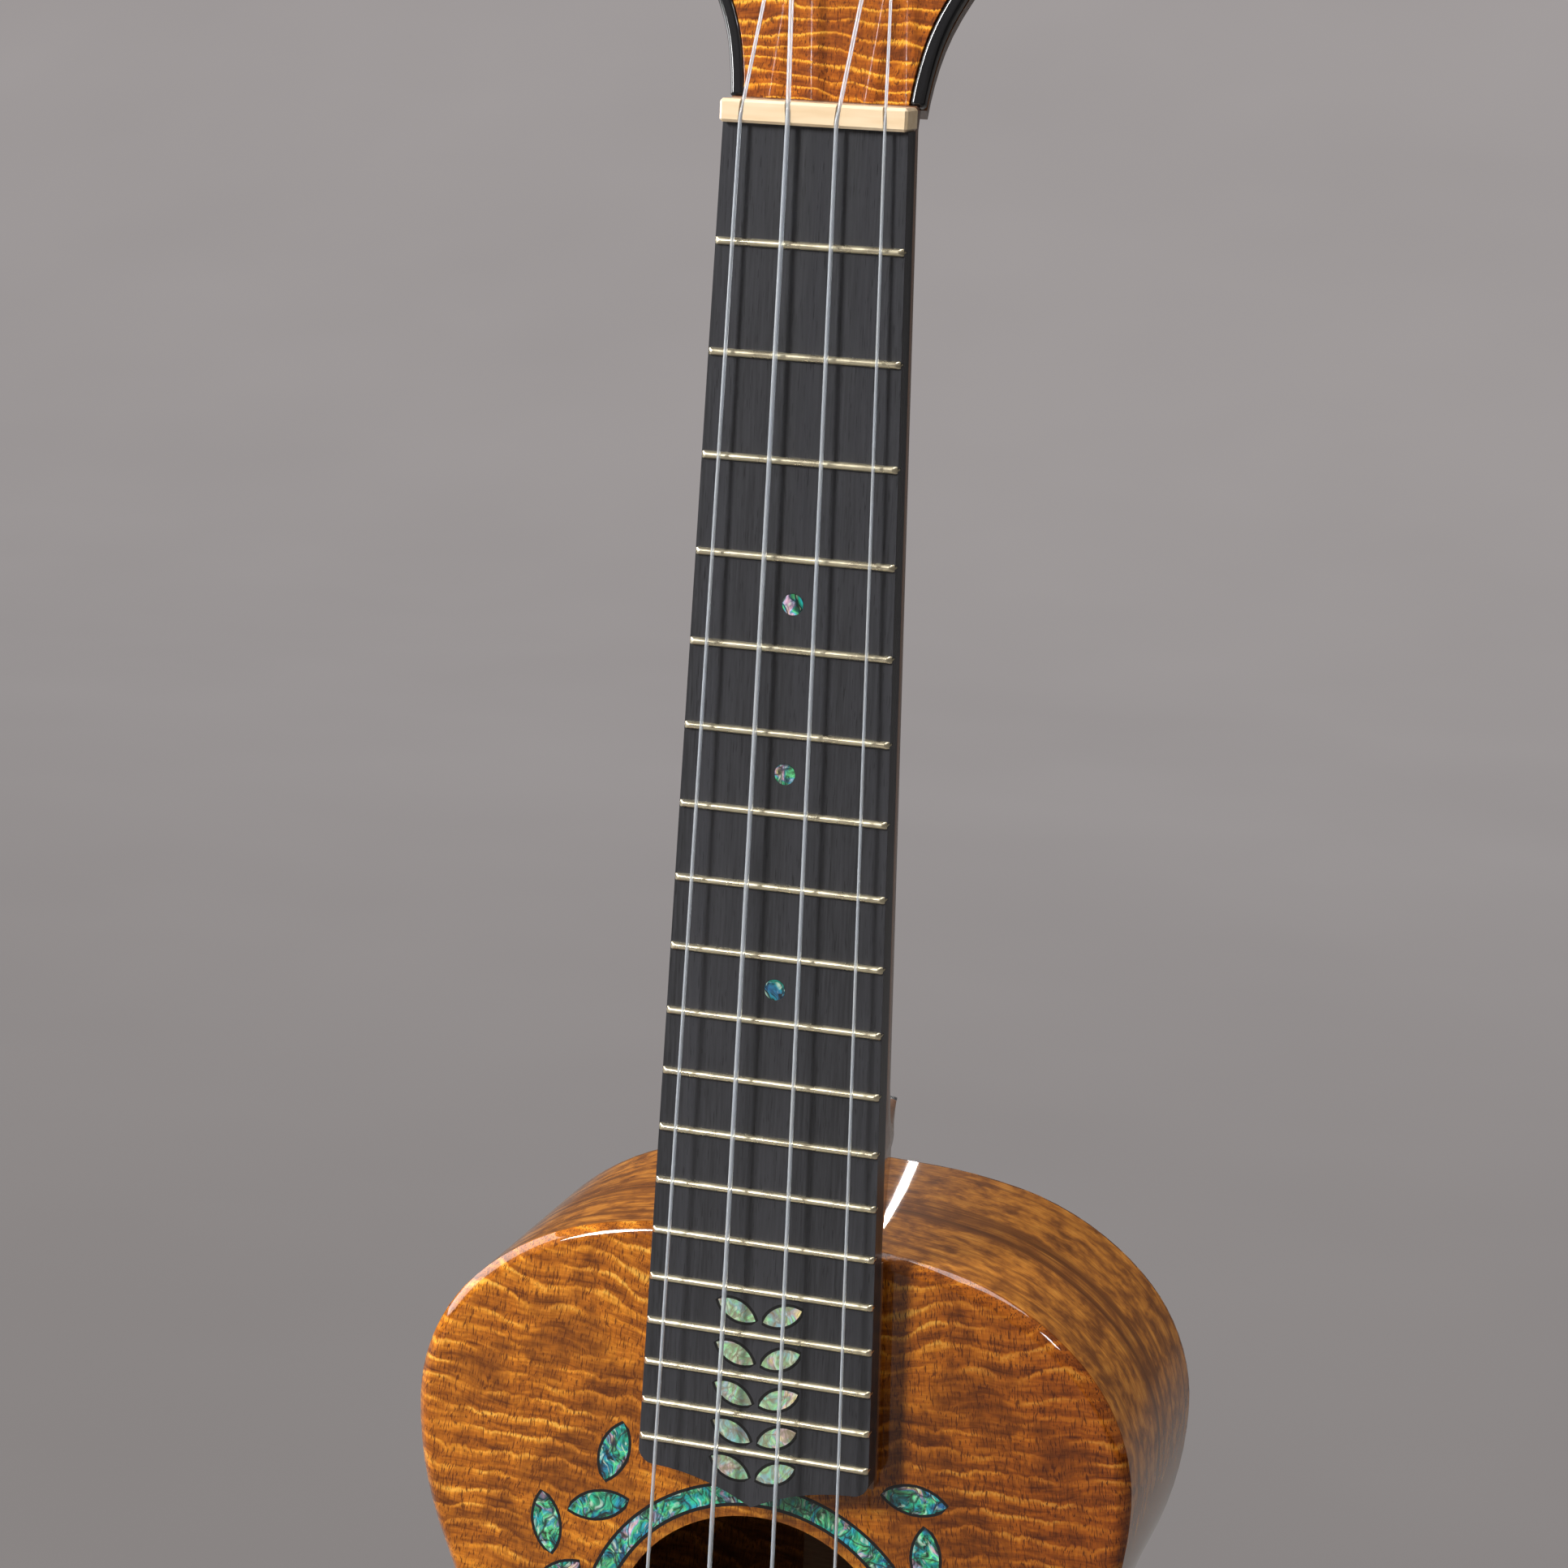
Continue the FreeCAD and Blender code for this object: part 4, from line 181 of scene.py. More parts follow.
def koa(name, colours, curl, wander, patches, mirror=True, tilt=0.0, seed=0.0, cloud=0.85,
        force=(0.1, 0.9), crest=0.68, painted_shade=0.0):
    """Curly koa: feathered bright bands across the grain, brown clouds along it, and short dark pores.

    curl is the bands' pitch, wander how far they stray in pitches, patches the clouds' size, cloud how
    deep they are, force how strongly the bands show from place to place, crest where in a band its
    bright line begins, painted_shade how much painted shade darkens the treble side. mirror gives two
    halves of one board opened like a book, each leaning by tilt.
    """
    paint = lacquered(name)
    real = paint.place
    place = real
    if mirror:
        place = paint.vector(place, "ABSOLUTE", None)
        place = paint.turned(place, (0, tilt, 0))
    place = paint.vector(place, "ADD", (seed, seed, seed))
    swept = paint.warped(place, 24.0, (5.0, 5.0, 8.0))
    fibre = paint.noise(place, (0.5, 0.5, 5.0), 2.0, 0.6)

    # Bands: a saw-toothed wave up the board, pushed about by soft noise and feathered by the fibres
    stray = paint.noise(swept, (13.0, 13.0, 3.2 * curl), 2.0, 0.5)
    phase = paint.math("DIVIDE", paint.axis(swept, "Z"), curl)
    phase = paint.math("ADD", phase, paint.math("MULTIPLY", stray, wander))
    phase = paint.math("ADD", phase, paint.math("MULTIPLY", fibre, 0.3))
    band = paint.ramp(paint.math("FRACT", phase), (0.0, 0.32), (0.4, 0.38), (crest, 0.52), (0.86, 1.0),
                      (0.92, 0.85), (1.0, 0.32))

    # The turn keeps the noise's own grid from showing as boxes on flat faces
    askew = paint.turned(place, (0.6, 0.45, 0.7))
    power = paint.ramp(paint.noise(askew, (16.0, 16.0, 16.0), 1.5), (0.38, force[0]), (0.6, force[1]))
    fine = paint.noise(swept, (6.0, 6.0, 1.1), 2.5, 0.6, 0.2)
    band = paint.mix(power, (0.5, 0.5, 0.5), band)
    figure = paint.math("ADD", paint.math("MULTIPLY", band, 0.5), paint.math("MULTIPLY", fine, 0.5))
    dark, low, middle, high, light = colours
    tone = paint.ramp(figure, (0.3, dark), (0.4, low), (0.5, middle), (0.6, high), (0.75, light))

    clouds = paint.noise(paint.warped(askew, 30.0, (14.0, 14.0, 14.0)), patches, 3.0, 0.55, 0.5)
    deep = paint.ramp(figure, (0.35, dark), (0.7, middle))
    tone = paint.mix(paint.ramp(clouds, (0.48, 0.0), (0.58, cloud), smooth=True), tone, deep)
    tone = paint.mix(0.6, tone, paint.ramp(fibre, (0.35, 0.6), (0.6, 1.0)), "MULTIPLY")
    bent = paint.warped(place, 5.0, (1.4, 1.4, 0.0))
    pores = paint.noise(bent, (0.26, 0.26, 2.0), 1.0, 0.5)
    tone = paint.mix(paint.ramp(pores, (0.37, 0.85), (0.42, 0.0)), tone, dark)
    # Painted shade: the top darkened towards its treble side (+x), standing in for how light falls there,
    # not a tone of the wood
    if painted_shade:
        across = paint.axis(paint.warped(real, 20.0, (14.0, 0.0, 0.0)), "X")
        share = paint.ramp(paint.math("DIVIDE", across, 60.0, True), (0.0, 0.0), (1.0, painted_shade))
        tone = paint.mix(share, tone, (0.5, 0.36, 0.3), "MULTIPLY")
    paint.bump(paint.noise(place, (9.0, 9.0, 9.0), 1.0), 0.05, 0.2)
    return paint.done(tone)


def bent_koa(name, colours, seed):
    """Koa bent into ribs: stripes along the rib under golden mottling."""
    paint = lacquered(name)
    place = paint.vector(paint.place, "ADD", (seed, seed, seed))
    flowed = paint.warped(place, 70.0, (0.0, 9.0, 0.0))
    lines = paint.noise(flowed, (16.0, 0.3, 16.0), 3.0, 0.6)
    stripes = paint.noise(flowed, (140.0, 4.5, 140.0), 3.0, 0.6, 0.2)
    mottle = paint.noise(paint.warped(place, 12.0, (5.0, 5.0, 5.0)), (4.6, 3.4, 4.6), 3.0, 0.6)
    dark, low, middle, high, light = colours
    tone = paint.ramp(mottle, (0.34, low), (0.46, middle), (0.58, high), (0.76, light))
    tone = paint.mix(paint.ramp(stripes, (0.46, 0.0), (0.6, 0.85), smooth=True), tone, low)
    tone = paint.mix(paint.ramp(stripes, (0.6, 0.0), (0.66, 0.5)), tone, dark)
    tone = paint.mix(0.7, tone, paint.ramp(lines, (0.36, 0.55), (0.56, 1.0)), "MULTIPLY")
    paint.bump(paint.noise(place, (9.0, 9.0, 9.0), 1.0), 0.05, 0.2)
    return paint.done(tone)


def plain_wood(name, colours, grain, roughness=0.5, coat=0.0, coat_roughness=0.1):
    """Straight-grained wood; grain is its lines' size along each axis."""
    paint = Paint(name, roughness=roughness, coat=coat, coat_roughness=coat_roughness)
    place = paint.warped(paint.place, 30.0, (1.5, 1.5, 1.5))
    lines = paint.noise(place, grain, 4.0, 0.6)
    soft = paint.noise(place, tuple(size * 6 for size in grain), 2.0)
    low, middle, high = colours
    tone = paint.ramp(lines, (0.3, low), (0.5, middle), (0.7, high))
    tone = paint.mix(0.35, tone, paint.ramp(soft, (0.35, 0.7), (0.65, 1.0)), "MULTIPLY")
    paint.bump(lines, 0.08, 0.4)
    return paint.done(tone)


def ebony(name, roughness, coat=0.0):
    """Nearly black wood, with fine pores along the neck and soft paler bands of painted sheen."""
    paint = Paint(name, roughness=roughness, coat=coat, coat_roughness=0.06)
    place = paint.place
    lines = paint.noise(place, (0.5, 0.5, 14.0), 4.0, 0.6)
    # Soft paler bands along the neck are painted sheen, standing in for soft reflections beside the
    # strings; the same bands also vary the roughness
    wide = paint.noise(place, (7.0, 7.0, 260.0), 1.5)
    tone = paint.ramp(lines, (0.35, (0.018, 0.018, 0.02)), (0.65, (0.034, 0.034, 0.038)))
    tone = paint.mix(paint.ramp(wide, (0.42, 0.0), (0.62, 0.5)), tone, (0.05, 0.05, 0.056))
    pores = paint.ramp(paint.noise(place, (0.22, 0.22, 4.0), 1.0), (0.31, 1.0), (0.36, 0.0))
    tone = paint.mix(paint.math("MULTIPLY", pores, 0.6), tone, (0.004, 0.004, 0.0045))
    paint.bump(lines, 0.05, 0.35)
    rough = paint.ramp(wide, (0.4, roughness + 0.05), (0.65, roughness - 0.06))
    return paint.done(tone, rough)


def abalone(name, seed=0.0, pale=0.0, dark=1.0):
    """Sea shell: folded layers of green, teal, blue and rose between growth lines, as dark as dark says."""
    paint = Paint(name, roughness=0.2, coat=1.0, coat_roughness=0.02)
    place = paint.vector(paint.place, "ADD", (seed, 0.0, seed * 1.7))
    folds = paint.warped(place, 6.0, (6.5, 6.5, 6.5))
    hue = paint.noise(folds, (4.4, 4.4, 6.0), 2.0, 0.5, 0.8)
    depth = paint.noise(folds, (1.5, 2.2, 3.2), 3.0, 0.65, 1.2)
    colours = paint.ramp(hue, (0.3, (0.02, 0.13, 0.3)), (0.4, (0.015, 0.3, 0.38)),
                         (0.47, (0.02, 0.42, 0.25)), (0.53, (0.12, 0.55, 0.2)),
                         (0.58, (0.04, 0.32, 0.42)), (0.64, (0.5, 0.3, 0.42)), (0.72, (0.66, 0.58, 0.22)))
    shine = paint.ramp(depth, (0.36, 0.06), (0.48, 0.6), (0.6, 1.25), (0.7, 1.9))
    colours = paint.mix(1.0, colours, shine, "MULTIPLY")
    flash = paint.noise(folds, (0.9, 1.2, 2.6), 2.0, 0.5)
    colours = paint.mix(paint.ramp(flash, (0.58, 0.0), (0.68, 0.7)), colours, (0.6, 0.78, 0.62))
    lines = paint.add("ShaderNodeTexVoronoi", feature="DISTANCE_TO_EDGE")
    paint.feed(lines.inputs["Vector"], paint.vector(folds, "DIVIDE", (4.2, 4.2, 7.0)))
    lines.inputs["Scale"].default_value = 1.0
    edge = paint.ramp(lines.outputs["Distance"], (0.008, 0.85 * dark), (0.05, 0.0))
    colours = paint.mix(edge, colours, (0.01, 0.018, 0.022))
    if pale:
        colours = paint.mix(pale, colours, (0.66, 0.55, 0.34))
    paint.bump(depth, 0.12, 0.3)
    return paint.done(colours)


def metal(name, colour, roughness):
    """Bright metal with a soft haze that dulls its colour and gloss in places."""
    paint = Paint(name, roughness=roughness, metallic=1.0)
    haze = paint.noise(paint.place, (5.0, 5.0, 5.0), 3.0)
    dull = tuple(part * 0.875 for part in colour)
    tone = paint.mix(paint.ramp(haze, (0.35, 0.0), (0.7, 1.0)), colour, dull)
    return paint.done(tone, paint.ramp(haze, (0.35, roughness * 0.75), (0.65, roughness * 1.3)))


def plastic(name, colour, roughness, coat, mottle):
    """Plastic whose colour is darker in soft patches by the share mottle."""
    paint = Paint(name, roughness=roughness, coat=coat, coat_roughness=0.04, gloss=0.2)
    soft = paint.noise(paint.place, (5.0, 5.0, 5.0), 3.0)
    darker = tuple(part * (1 - mottle) for part in colour)
    tone = paint.mix(paint.ramp(soft, (0.35, 0.0), (0.7, 1.0)), colour, darker)
    paint.bump(paint.noise(paint.place, (0.5, 0.5, 0.5), 2.0), 0.01, 0.2)
    return paint.done(tone)


def bone():
    """Polished bone with faint lines along it."""
    paint = Paint("bone", roughness=0.3, coat=0.35, coat_roughness=0.08)
    lines = paint.noise(paint.warped(paint.place, 6.0, (0.6, 0.6, 0.6)), (14.0, 1.6, 1.6), 2.0)
    return paint.done(paint.ramp(lines, (0.3, (0.82, 0.6, 0.36)), (0.7, (0.92, 0.73, 0.5))))


def clear_string():
    """Half-clear fluorocarbon."""
    paint = Paint("clear_string", roughness=0.07, ior=1.42)
    soft = paint.noise(paint.place, (0.6, 0.6, 22.0), 2.0)
    paint.shader.inputs["Transmission Weight"].default_value = 0.7
    return paint.done(paint.ramp(soft, (0.35, (0.86, 0.92, 1.0)), (0.7, (0.95, 0.98, 1.0))))


# Koa's tones from its darkest to its lightest
TOP_TONES = ((0.1, 0.022, 0.002), (0.3, 0.078, 0.004), (0.52, 0.152, 0.008), (0.74, 0.26, 0.016),
             (0.93, 0.45, 0.06))
SIDE_TONES = ((0.09, 0.028, 0.008), (0.21, 0.068, 0.015), (0.37, 0.127, 0.022), (0.58, 0.21, 0.03),
              (0.76, 0.32, 0.055))
HEAD_TONES = ((0.1, 0.02, 0.001), (0.26, 0.056, 0.002), (0.42, 0.105, 0.003), (0.66, 0.21, 0.007),
              (1.0, 0.5, 0.045))
RING_TONES = ((0.12, 0.028, 0.002), (0.26, 0.072, 0.005), (0.42, 0.135, 0.01), (0.56, 0.21, 0.018),
              (0.7, 0.3, 0.04))

# Plain woods' tones from their lowest to their highest
NECK_TONES = ((0.12, 0.045, 0.016), (0.2, 0.08, 0.03), (0.28, 0.125, 0.05))
BLOCK_TONES = ((0.3, 0.16, 0.08), (0.4, 0.23, 0.12), (0.48, 0.3, 0.17))
LINING_TONES = ((0.16, 0.075, 0.035), (0.23, 0.115, 0.055), (0.3, 0.16, 0.08))
BRACE_TONES = ((0.17, 0.085, 0.04), (0.24, 0.13, 0.065), (0.3, 0.18, 0.09))

STEEL = (0.62, 0.62, 0.63)
BRASS = (0.62, 0.42, 0.14)
PALE_BRASS = (1.0, 0.9, 0.64)

FINISH = {
    # The top carries painted shade on its treble side
    "koa_top": koa("koa_top", TOP_TONES, 4.2, 2.4, (17.0, 17.0, 24.0), tilt=0.12, seed=31.0, painted_shade=0.85),
    "koa_ring": koa("koa_ring", RING_TONES, 3.0, 1.0, (16.0, 16.0, 16.0), seed=7.0),
    "koa_back": koa("koa_back", SIDE_TONES, 5.5, 3.0, (30.0, 30.0, 44.0), tilt=0.1, seed=83.0),
    "koa_side": bent_koa("koa_side", SIDE_TONES, 57.0),
    "koa_head": koa("koa_head", HEAD_TONES, 2.5, 2.0, (24.0, 24.0, 30.0), mirror=False, seed=112.0,
                    cloud=0.3, force=(0.75, 1.0), crest=0.7),
    "neck_wood": plain_wood("neck_wood", NECK_TONES, (0.7, 0.7, 16.0), 0.42, 0.8, 0.09),
    "block_wood": plain_wood("block_wood", BLOCK_TONES, (0.8, 0.8, 14.0), 0.7),
    "lining_wood": plain_wood("lining_wood", LINING_TONES, (9.0, 0.7, 9.0), 0.7),
    "brace_wood": plain_wood("brace_wood", BRACE_TONES, (7.0, 0.7, 0.7), 0.7),
    "ebony": ebony("ebony", 0.33),
    "ebony_trim": ebony("ebony_trim", 0.3, 0.9),
    "black_binding": plastic("black_binding", (0.006, 0.006, 0.007), 0.16, 1.0, 0.3),
    "abalone": abalone("abalone", 3.0),
    "pearl": abalone("pearl", 40.0, 0.8, 0.3),
    "bone": bone(),
    "fret_metal": metal("fret_metal", PALE_BRASS, 0.3),
    "tuner_metal": metal("tuner_metal", STEEL, 0.14),
    "post_metal": metal("post_metal", STEEL, 0.12),
    "gear_brass": metal("gear_brass", BRASS, 0.3),
    "button_plastic": plastic("button_plastic", (0.012, 0.011, 0.011), 0.22, 0.9, 0.3),
    "string": clear_string(),
}
PALE_SHELL = abalone("pale_shell", 17.0, 0.36, 0.8)
BLACK_LINE = plastic("black_line", (0.006, 0.006, 0.006), 0.35, 0.9, 0.2)


# Pieces
def finished(name, mesh, slot, body="instrument", material=None):
    """A new piece of the object."""
    piece = bpy.data.objects.new(name, mesh)
    bpy.context.scene.collection.objects.link(piece)
    mesh.materials.clear()
    mesh.materials.append(material or FINISH[slot])
    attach(piece, body)
    return piece


def meshed(form, name):
    """A mesh of a form that is then done with."""
    mesh = bpy.data.meshes.new(name)
    form.to_mesh(mesh)
    form.free()
    return mesh


def weigh(piece, weight):
    """Keeps wide flat faces flat in shade beside small rounded ones; 50 weighs all faces by their area."""
    modifier = piece.modifiers.new("shade", "WEIGHTED_NORMAL")
    modifier.keep_sharp = True
    modifier.weight = weight


def shade(form, sharp_angle):
    """Smooth faces, with sharp edges kept."""
    for face in form.faces:
        face.smooth = True
    for edge in form.edges:
        edge.smooth = len(edge.link_faces) == 2 and edge.calc_face_angle(0) < sharp_angle


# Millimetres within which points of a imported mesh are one, or an edge is none, and the degrees within
# which faces are flat
SAME_POINT = 0.004
NO_EDGE = 0.002
FLAT = 0.6


def rounded(node, width, segments=3, over=28.0, only=None, sharp=40.0, weight=90):
    """A node's own form with its outer edges over an angle rounded; it stands for the node.

    Width 0 rounds nothing and only shades the form, smooth up to the angle sharp.
    """
    form = bmesh.new()
    form.from_mesh(frame["nodes"][node].data)
    bmesh.ops.remove_doubles(form, verts=form.verts, dist=SAME_POINT * MM)
    bmesh.ops.dissolve_degenerate(form, edges=form.edges, dist=NO_EDGE * MM)
    bmesh.ops.dissolve_limit(form, angle_limit=math.radians(FLAT), verts=form.verts, edges=form.edges,
                             delimit={"NORMAL"})
    edges = [edge for edge in form.edges
             if len(edge.link_faces) == 2 and edge.is_convex
             and edge.calc_face_angle(0) > math.radians(over) and (only is None or only(edge))]
    if width:
        bmesh.ops.bevel(form, geom=edges, offset=width * MM, offset_type="OFFSET", segments=segments,
                        profile=0.5, affect="EDGES", clamp_overlap=True)
    shade(form, math.radians(sharp))
    piece = finished(node + "_form", meshed(form, node + "_form"), SLOT_OF[node], BODY_OF[node])
    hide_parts(node)
    weigh(piece, weight)


def slab(rings, front, deep):
    """Flat pieces from outlines of places across and up, in millimetres, with their front at one depth."""
    form = bmesh.new()
    for ring in rings:
        near = [form.verts.new((x * MM, front * MM, z * MM)) for x, z in ring]
        far = [form.verts.new((x * MM, (front + deep) * MM, z * MM)) for x, z in ring]
        form.faces.new(near)
        form.faces.new(far[::-1])
        for k in range(len(ring)):
            m = (k + 1) % len(ring)
            form.faces.new((near[m], near[k], far[k], far[m]))
    bmesh.ops.recalc_face_normals(form, faces=form.faces)
    return meshed(form, "slab")


# Leaves of shell, each with a black line round it, and the line's width, how far shell lines stand
# proud of the wood and how deep they reach, in millimetres
LINE = 0.6
PROUD = 0.02
DEEP = 0.5
ARC_STEPS = 10


def leaf(long, wide, turn, x, z, grow=0.0):
    """Outline of a pointed leaf made of two arcs, turned from the level and set at a place."""
    half = long / 2
    sag = wide / 2
    radius = (half * half + sag * sag) / (2 * sag)
    reach = math.asin(half / radius)
    ring = []
    for side in (1, -1):
        for k in range(ARC_STEPS):
            angle = side * reach * (1 - 2 * k / ARC_STEPS)
            across = (radius + grow) * math.sin(angle)
            rise = side * ((radius + grow) * math.cos(angle) - (radius - sag))
            ring.append((across, rise))
    cos, sin = math.cos(turn), math.sin(turn)
    return [(x + a * cos - b * sin, z + a * sin + b * cos) for a, b in ring]


def wreath():
    """Two rings of leaves round the soundhole, left out where the fingerboard covers them."""
    places = []
    steps = 14
    long, wide, clear = 13.0, 5.4, 5
    for radius, lean, offset in ((43.2, -35, 0.0), (49.5, 35, 0.5)):
        for k in range(steps):
            angle = 2 * math.pi * (k + offset) / steps + math.pi / 2
            x = radius * math.cos(angle)
            z = HOLE_Z + radius * math.sin(angle)
            if abs(x) < BOARD_HALF_END + clear and z > NUT_Z - BOARD_TIP - clear:
                continue
            places.append((long, wide, angle + math.pi / 2 + math.radians(lean), x, z))
    return places


def fret_z(count):
    return NUT_Z - SCALE * (1 - 2 ** (-count / 12))


def sprig():
    """Pairs of leaves between the last frets."""
    places = []
    long, wide, lean, apart, tip_room = 8.4, 3.8, math.radians(24), 4.6, 4
    for k in range(FIRST_LEAF_FRET, LAST_FRET + 1):
        below = fret_z(k + 1) if k < LAST_FRET else NUT_Z - BOARD_TIP + tip_room
        middle = (fret_z(k) + below) / 2
        for side in (-1, 1):
            places.append((long, wide, side * lean, side * apart, middle))
    return places


def inlaid(name, places, face, shell=None):
    """Shell leaves, and their black lines a hair lower."""
    lines = slab([leaf(*place, grow=LINE) for place in places], face - PROUD, DEEP)
    finished(name + "_lines", lines, "black_binding", material=BLACK_LINE)
    leaves = slab([leaf(*place) for place in places], face - 2 * PROUD, DEEP)
    finished(name + "_shell", leaves, "abalone", material=shell)


inlaid("wreath", wreath(), FACE_Y)
inlaid("sprig", sprig(), BOARD_Y, PALE_SHELL)


def annulus(name, inner, outer, face, slot, material):
    """Flat ring round the soundhole."""
    form = bmesh.new()
    steps = 128
    turns = [2 * math.pi * k / steps for k in range(steps)]
    rings = [[form.verts.new((radius * math.cos(turn) * MM, level * MM,
                              (HOLE_Z + radius * math.sin(turn)) * MM)) for turn in turns]
             for radius, level in ((inner, face), (outer, face), (outer, face + DEEP),
                                   (inner, face + DEEP))]
    for near, far in zip(rings, rings[1:] + rings[:1]):
        for k in range(steps):
            m = (k + 1) % steps
            form.faces.new((near[k], near[m], far[m], far[k]))
    bmesh.ops.recalc_face_normals(form, faces=form.faces)
    finished(name, meshed(form, name), slot, material=material)


# Black lines inside and outside the shell ring, by their radii
annulus("rosette_line_in", 31.95, 32.65, FACE_Y - PROUD, "black_binding", BLACK_LINE)
annulus("rosette_line_out", 36.35, 37.0, FACE_Y - PROUD, "black_binding", BLACK_LINE)


# Rounded forms
def on_slope(edge):
    """An edge between a plate's flat face and the slope round its rim."""
    tilts = sorted(abs(face.normal.y) for face in edge.link_faces)
    return 0.4 < tilts[0] < 0.95 < tilts[1]


for node in ("soundboard", "back_plate"):
    rounded(node, 1.1, 6, over=15.0, only=on_slope, sharp=50.0)

# Width of the rounding in millimetres and its segments
ROUNDED = {
    "fingerboard": (0.3, 3),
    "nut": (1.2, 5),
    "saddle": (0.3, 3),
    "frets": (0.25, 2),
    "bridge": (0.5, 3),
    "headstock_binding": (0.8, 4),
    "headstock_veneer": (0.12, 2),
    "heel_cap": (0.5, 3),
    "tuner_plates": (0.25, 2),
    "post_bushings": (0.3, 3),
}
for node, (width, segments) in ROUNDED.items():
    rounded(node, width, segments)

# These have no edge to round, or keep theirs, and are only shaded smooth
for node in ("neck", "rib_left", "rib_right", "soundhole_ring"):
    rounded(node, 0, sharp=32.0, weight=50)
for letter in "gcea":
    rounded(f"{letter}_button", 1.5, 4)
    rounded(f"{letter}_post", 0.2, 2)
    rounded(f"{letter}_string", 0, sharp=70)
    rounded(f"{letter}_winding", 0, sharp=70)

for node, item in frame["nodes"].items():
    item.data.materials.clear()
    item.data.materials.append(FINISH[SLOT_OF[node]])

# The photo's camera, fitted to the frets: its place from the nut's middle at the fret tops in
# millimetres, and the directions of the picture's right, down and depth
CAMERA_FROM_NUT = (197.33, -663.71, 31.19)
RIGHT = Vector((0.954747, 0.293921, 0.045475))
DOWN = Vector((0.105585, -0.192015, -0.975696))
FORWARD = Vector((-0.278046, 0.936344, -0.214359))
LENS = 87.46
SENSOR = 36.0


def camera():
    data = bpy.data.cameras.new("camera")
    data.lens = LENS
    data.sensor_width = SENSOR
    data.clip_start = 0.05
    data.clip_end = 200
    item = bpy.data.objects.new("camera", data)
    bpy.context.scene.collection.objects.link(item)
    across, deep, up = CAMERA_FROM_NUT
    place = Vector((across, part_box("frets")[0].y / MM + deep, NUT_Z + up)) * MM
    axes = Matrix((RIGHT, -DOWN, -FORWARD)).transposed().to_4x4()
    item.matrix_world = Matrix.Translation(place) @ axes
    bpy.context.scene.camera = item


camera()

# Sweep of floor and wall, in metres, and its glow's tones from the object to the wall, darker near the
# object as painted shade
SWEEP_HALF = 14.0
SWEEP_TALL = 9.0
WALL = 3.5
BEND = 1.5
BEND_STEPS = 16
FAR_TONE = 3600.0
SWEEP_PAINTED_SHADE_TONES = ((0.1, (0.245, 0.225, 0.222)), (0.45, (0.385, 0.358, 0.358)), (1.0, (0.475, 0.44, 0.438)))
SWEEP_GLOW = 0.75


def backdrop_paint():
    """Matt cloth; the camera sees most of it by a painted glow, darker towards the object as painted shade,
    and the rest shows the real shadows.
    """
    paint = Paint("backdrop", roughness=0.9)
    cloth = paint.noise(paint.place, (420.0, 420.0, 260.0), 3.0, 0.55)
    paint.done(paint.ramp(cloth, (0.35, (0.15, 0.14, 0.134)), (0.65, (0.165, 0.155, 0.148))))
    # Painted shade: the glow is darker near the object and lighter towards the wall
    back = paint.math("DIVIDE", paint.axis(paint.place, "Y"), FAR_TONE, True)
    tone = paint.ramp(back, *SWEEP_PAINTED_SHADE_TONES)
    tone = paint.mix(1.0, tone, paint.ramp(cloth, (0.35, 0.96), (0.65, 1.0)), "MULTIPLY")
    glow = paint.add("ShaderNodeEmission")
    paint.feed(glow.inputs["Color"], tone)
    glow.inputs["Strength"].default_value = 1.0
    path = paint.add("ShaderNodeLightPath")
    seen = paint.math("MAXIMUM", path.outputs["Is Camera Ray"], path.outputs["Is Transmission Ray"])
    blend = paint.add("ShaderNodeMixShader")
    paint.feed(blend.inputs[0], paint.math("MULTIPLY", seen, SWEEP_GLOW))
    paint.feed(blend.inputs[1], paint.shader.outputs[0])
    paint.feed(blend.inputs[2], glow.outputs[0])
    output = next(node for node in paint.tree.nodes if node.type == "OUTPUT_MATERIAL")
    paint.feed(output.inputs["Surface"], blend.outputs[0])
    return paint.material


def studio():
    form = bmesh.new()
    profile = [(-SWEEP_HALF, 0.0), (WALL - BEND, 0.0)]
    for k in range(1, BEND_STEPS + 1):
        angle = math.pi / 2 * k / BEND_STEPS
        profile.append((WALL - BEND + BEND * math.sin(angle), BEND - BEND * math.cos(angle)))
    profile.append((WALL, SWEEP_TALL))
    rows = [[form.verts.new((x, y, z)) for y, z in profile] for x in (-SWEEP_HALF, SWEEP_HALF)]
    for k in range(len(profile) - 1):
        form.faces.new((rows[0][k], rows[1][k], rows[1][k + 1], rows[0][k + 1]))
    for face in form.faces:
        face.smooth = True
    bmesh.ops.recalc_face_normals(form, faces=form.faces)
    mesh = meshed(form, "backdrop")
    sweep = bpy.data.objects.new("backdrop", mesh)
    bpy.context.scene.collection.objects.link(sweep)
    mesh.materials.append(backdrop_paint())


studio()

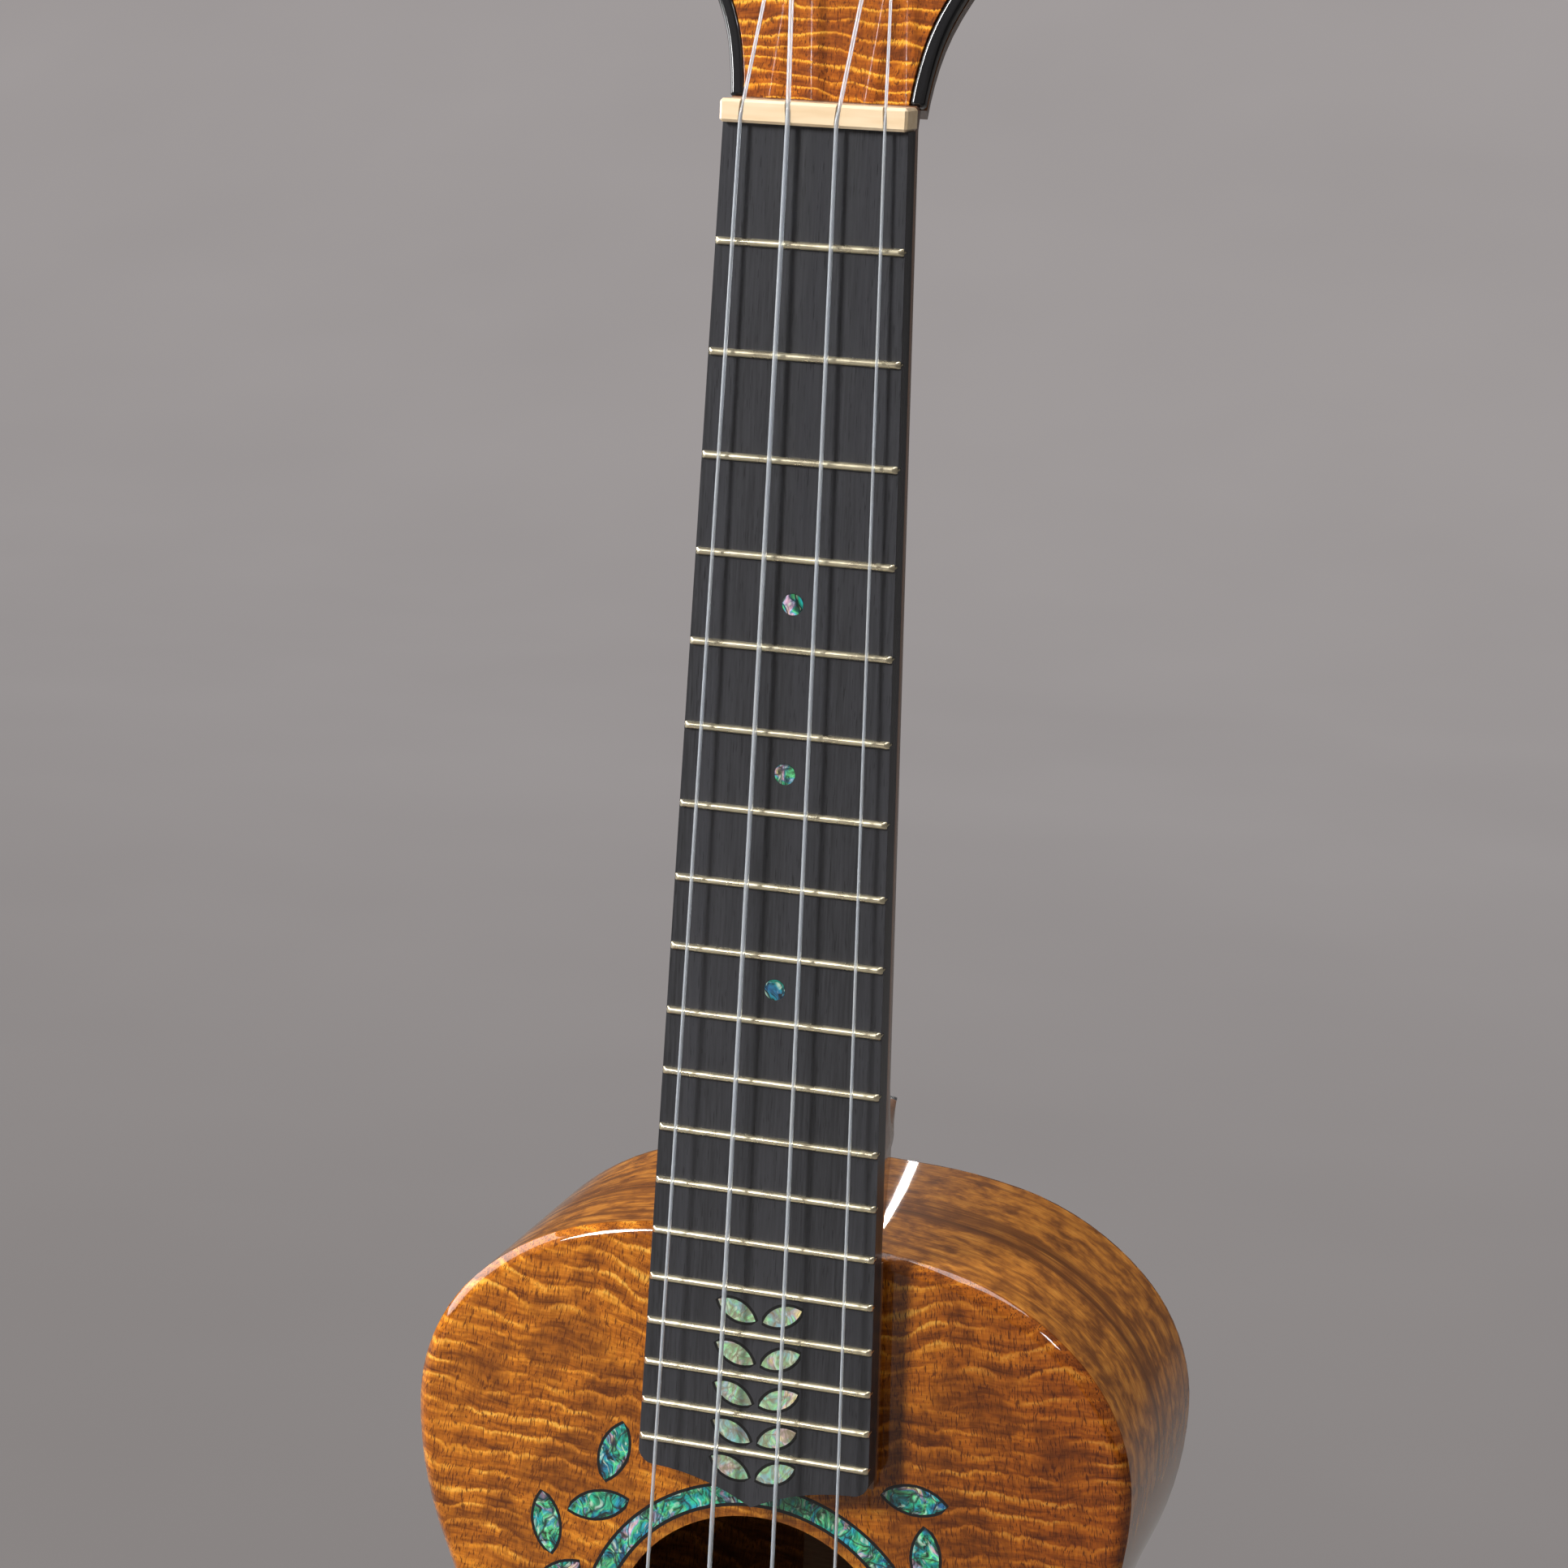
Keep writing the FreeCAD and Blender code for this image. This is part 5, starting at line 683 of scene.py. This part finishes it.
# Softboxes: place and target in metres, width and height, and power in watts
LAMPS = {
    "key": ((-1.15, -1.55, 1.45), (0, 0, 0.35), (0.4, 0.8), 58),
    "side": ((-1.55, -0.1, 0.85), (0, 0, 0.35), (1.4, 1.2), 25),
    "overhead": ((0.3, 0.2, 2.1), (0, 0, 0.3), (1.4, 1.0), 25),
    "strip": ((-0.52, 2.4, 1.08), (0, 0, 0.3), (0.013, 0.95), 2.4),
    "fill": ((1.4, -0.8, 1.85), (0, 0, 0.3), (0.2, 0.25), 3.5),
}


def lamp(name, place, target, size, power):
    data = bpy.data.lights.new(name, "AREA")
    data.shape = "RECTANGLE"
    data.size, data.size_y = size
    data.energy = power
    item = bpy.data.objects.new(name, data)
    bpy.context.scene.collection.objects.link(item)
    item.location = place
    item.rotation_mode = "QUATERNION"
    item.rotation_quaternion = (Vector(target) - Vector(place)).to_track_quat("-Z", "Y")


for name, settings in LAMPS.items():
    lamp(name, *settings)

# The world's light and its strength, and the grey that is seen where the sweep ends
SKY_LIGHT = (0.9, 0.92, 0.95, 1)
SKY_STRENGTH = 0.12
SKY_SEEN = (0.22, 0.205, 0.2, 1)


def sky():
    """Weak even light; camera, gloss and clear pieces see a grey like the backdrop's instead."""
    world = bpy.data.worlds.new("world")
    world.use_nodes = True
    tree = world.node_tree
    light = tree.nodes["Background"]
    light.inputs["Color"].default_value = SKY_LIGHT
    light.inputs["Strength"].default_value = SKY_STRENGTH
    seen = tree.nodes.new("ShaderNodeBackground")
    seen.inputs["Color"].default_value = SKY_SEEN
    path = tree.nodes.new("ShaderNodeLightPath")
    rays = path.outputs["Is Camera Ray"]
    for kind in ("Is Glossy Ray", "Is Transmission Ray"):
        either = tree.nodes.new("ShaderNodeMath")
        either.operation = "MAXIMUM"
        tree.links.new(rays, either.inputs[0])
        tree.links.new(path.outputs[kind], either.inputs[1])
        rays = either.outputs[0]
    blend = tree.nodes.new("ShaderNodeMixShader")
    tree.links.new(rays, blend.inputs[0])
    tree.links.new(light.outputs[0], blend.inputs[1])
    tree.links.new(seen.outputs[0], blend.inputs[2])
    tree.links.new(blend.outputs[0], tree.nodes["World Output"].inputs["Surface"])
    bpy.context.scene.world = world


sky()
bpy.context.scene.view_settings.view_transform = "Standard"
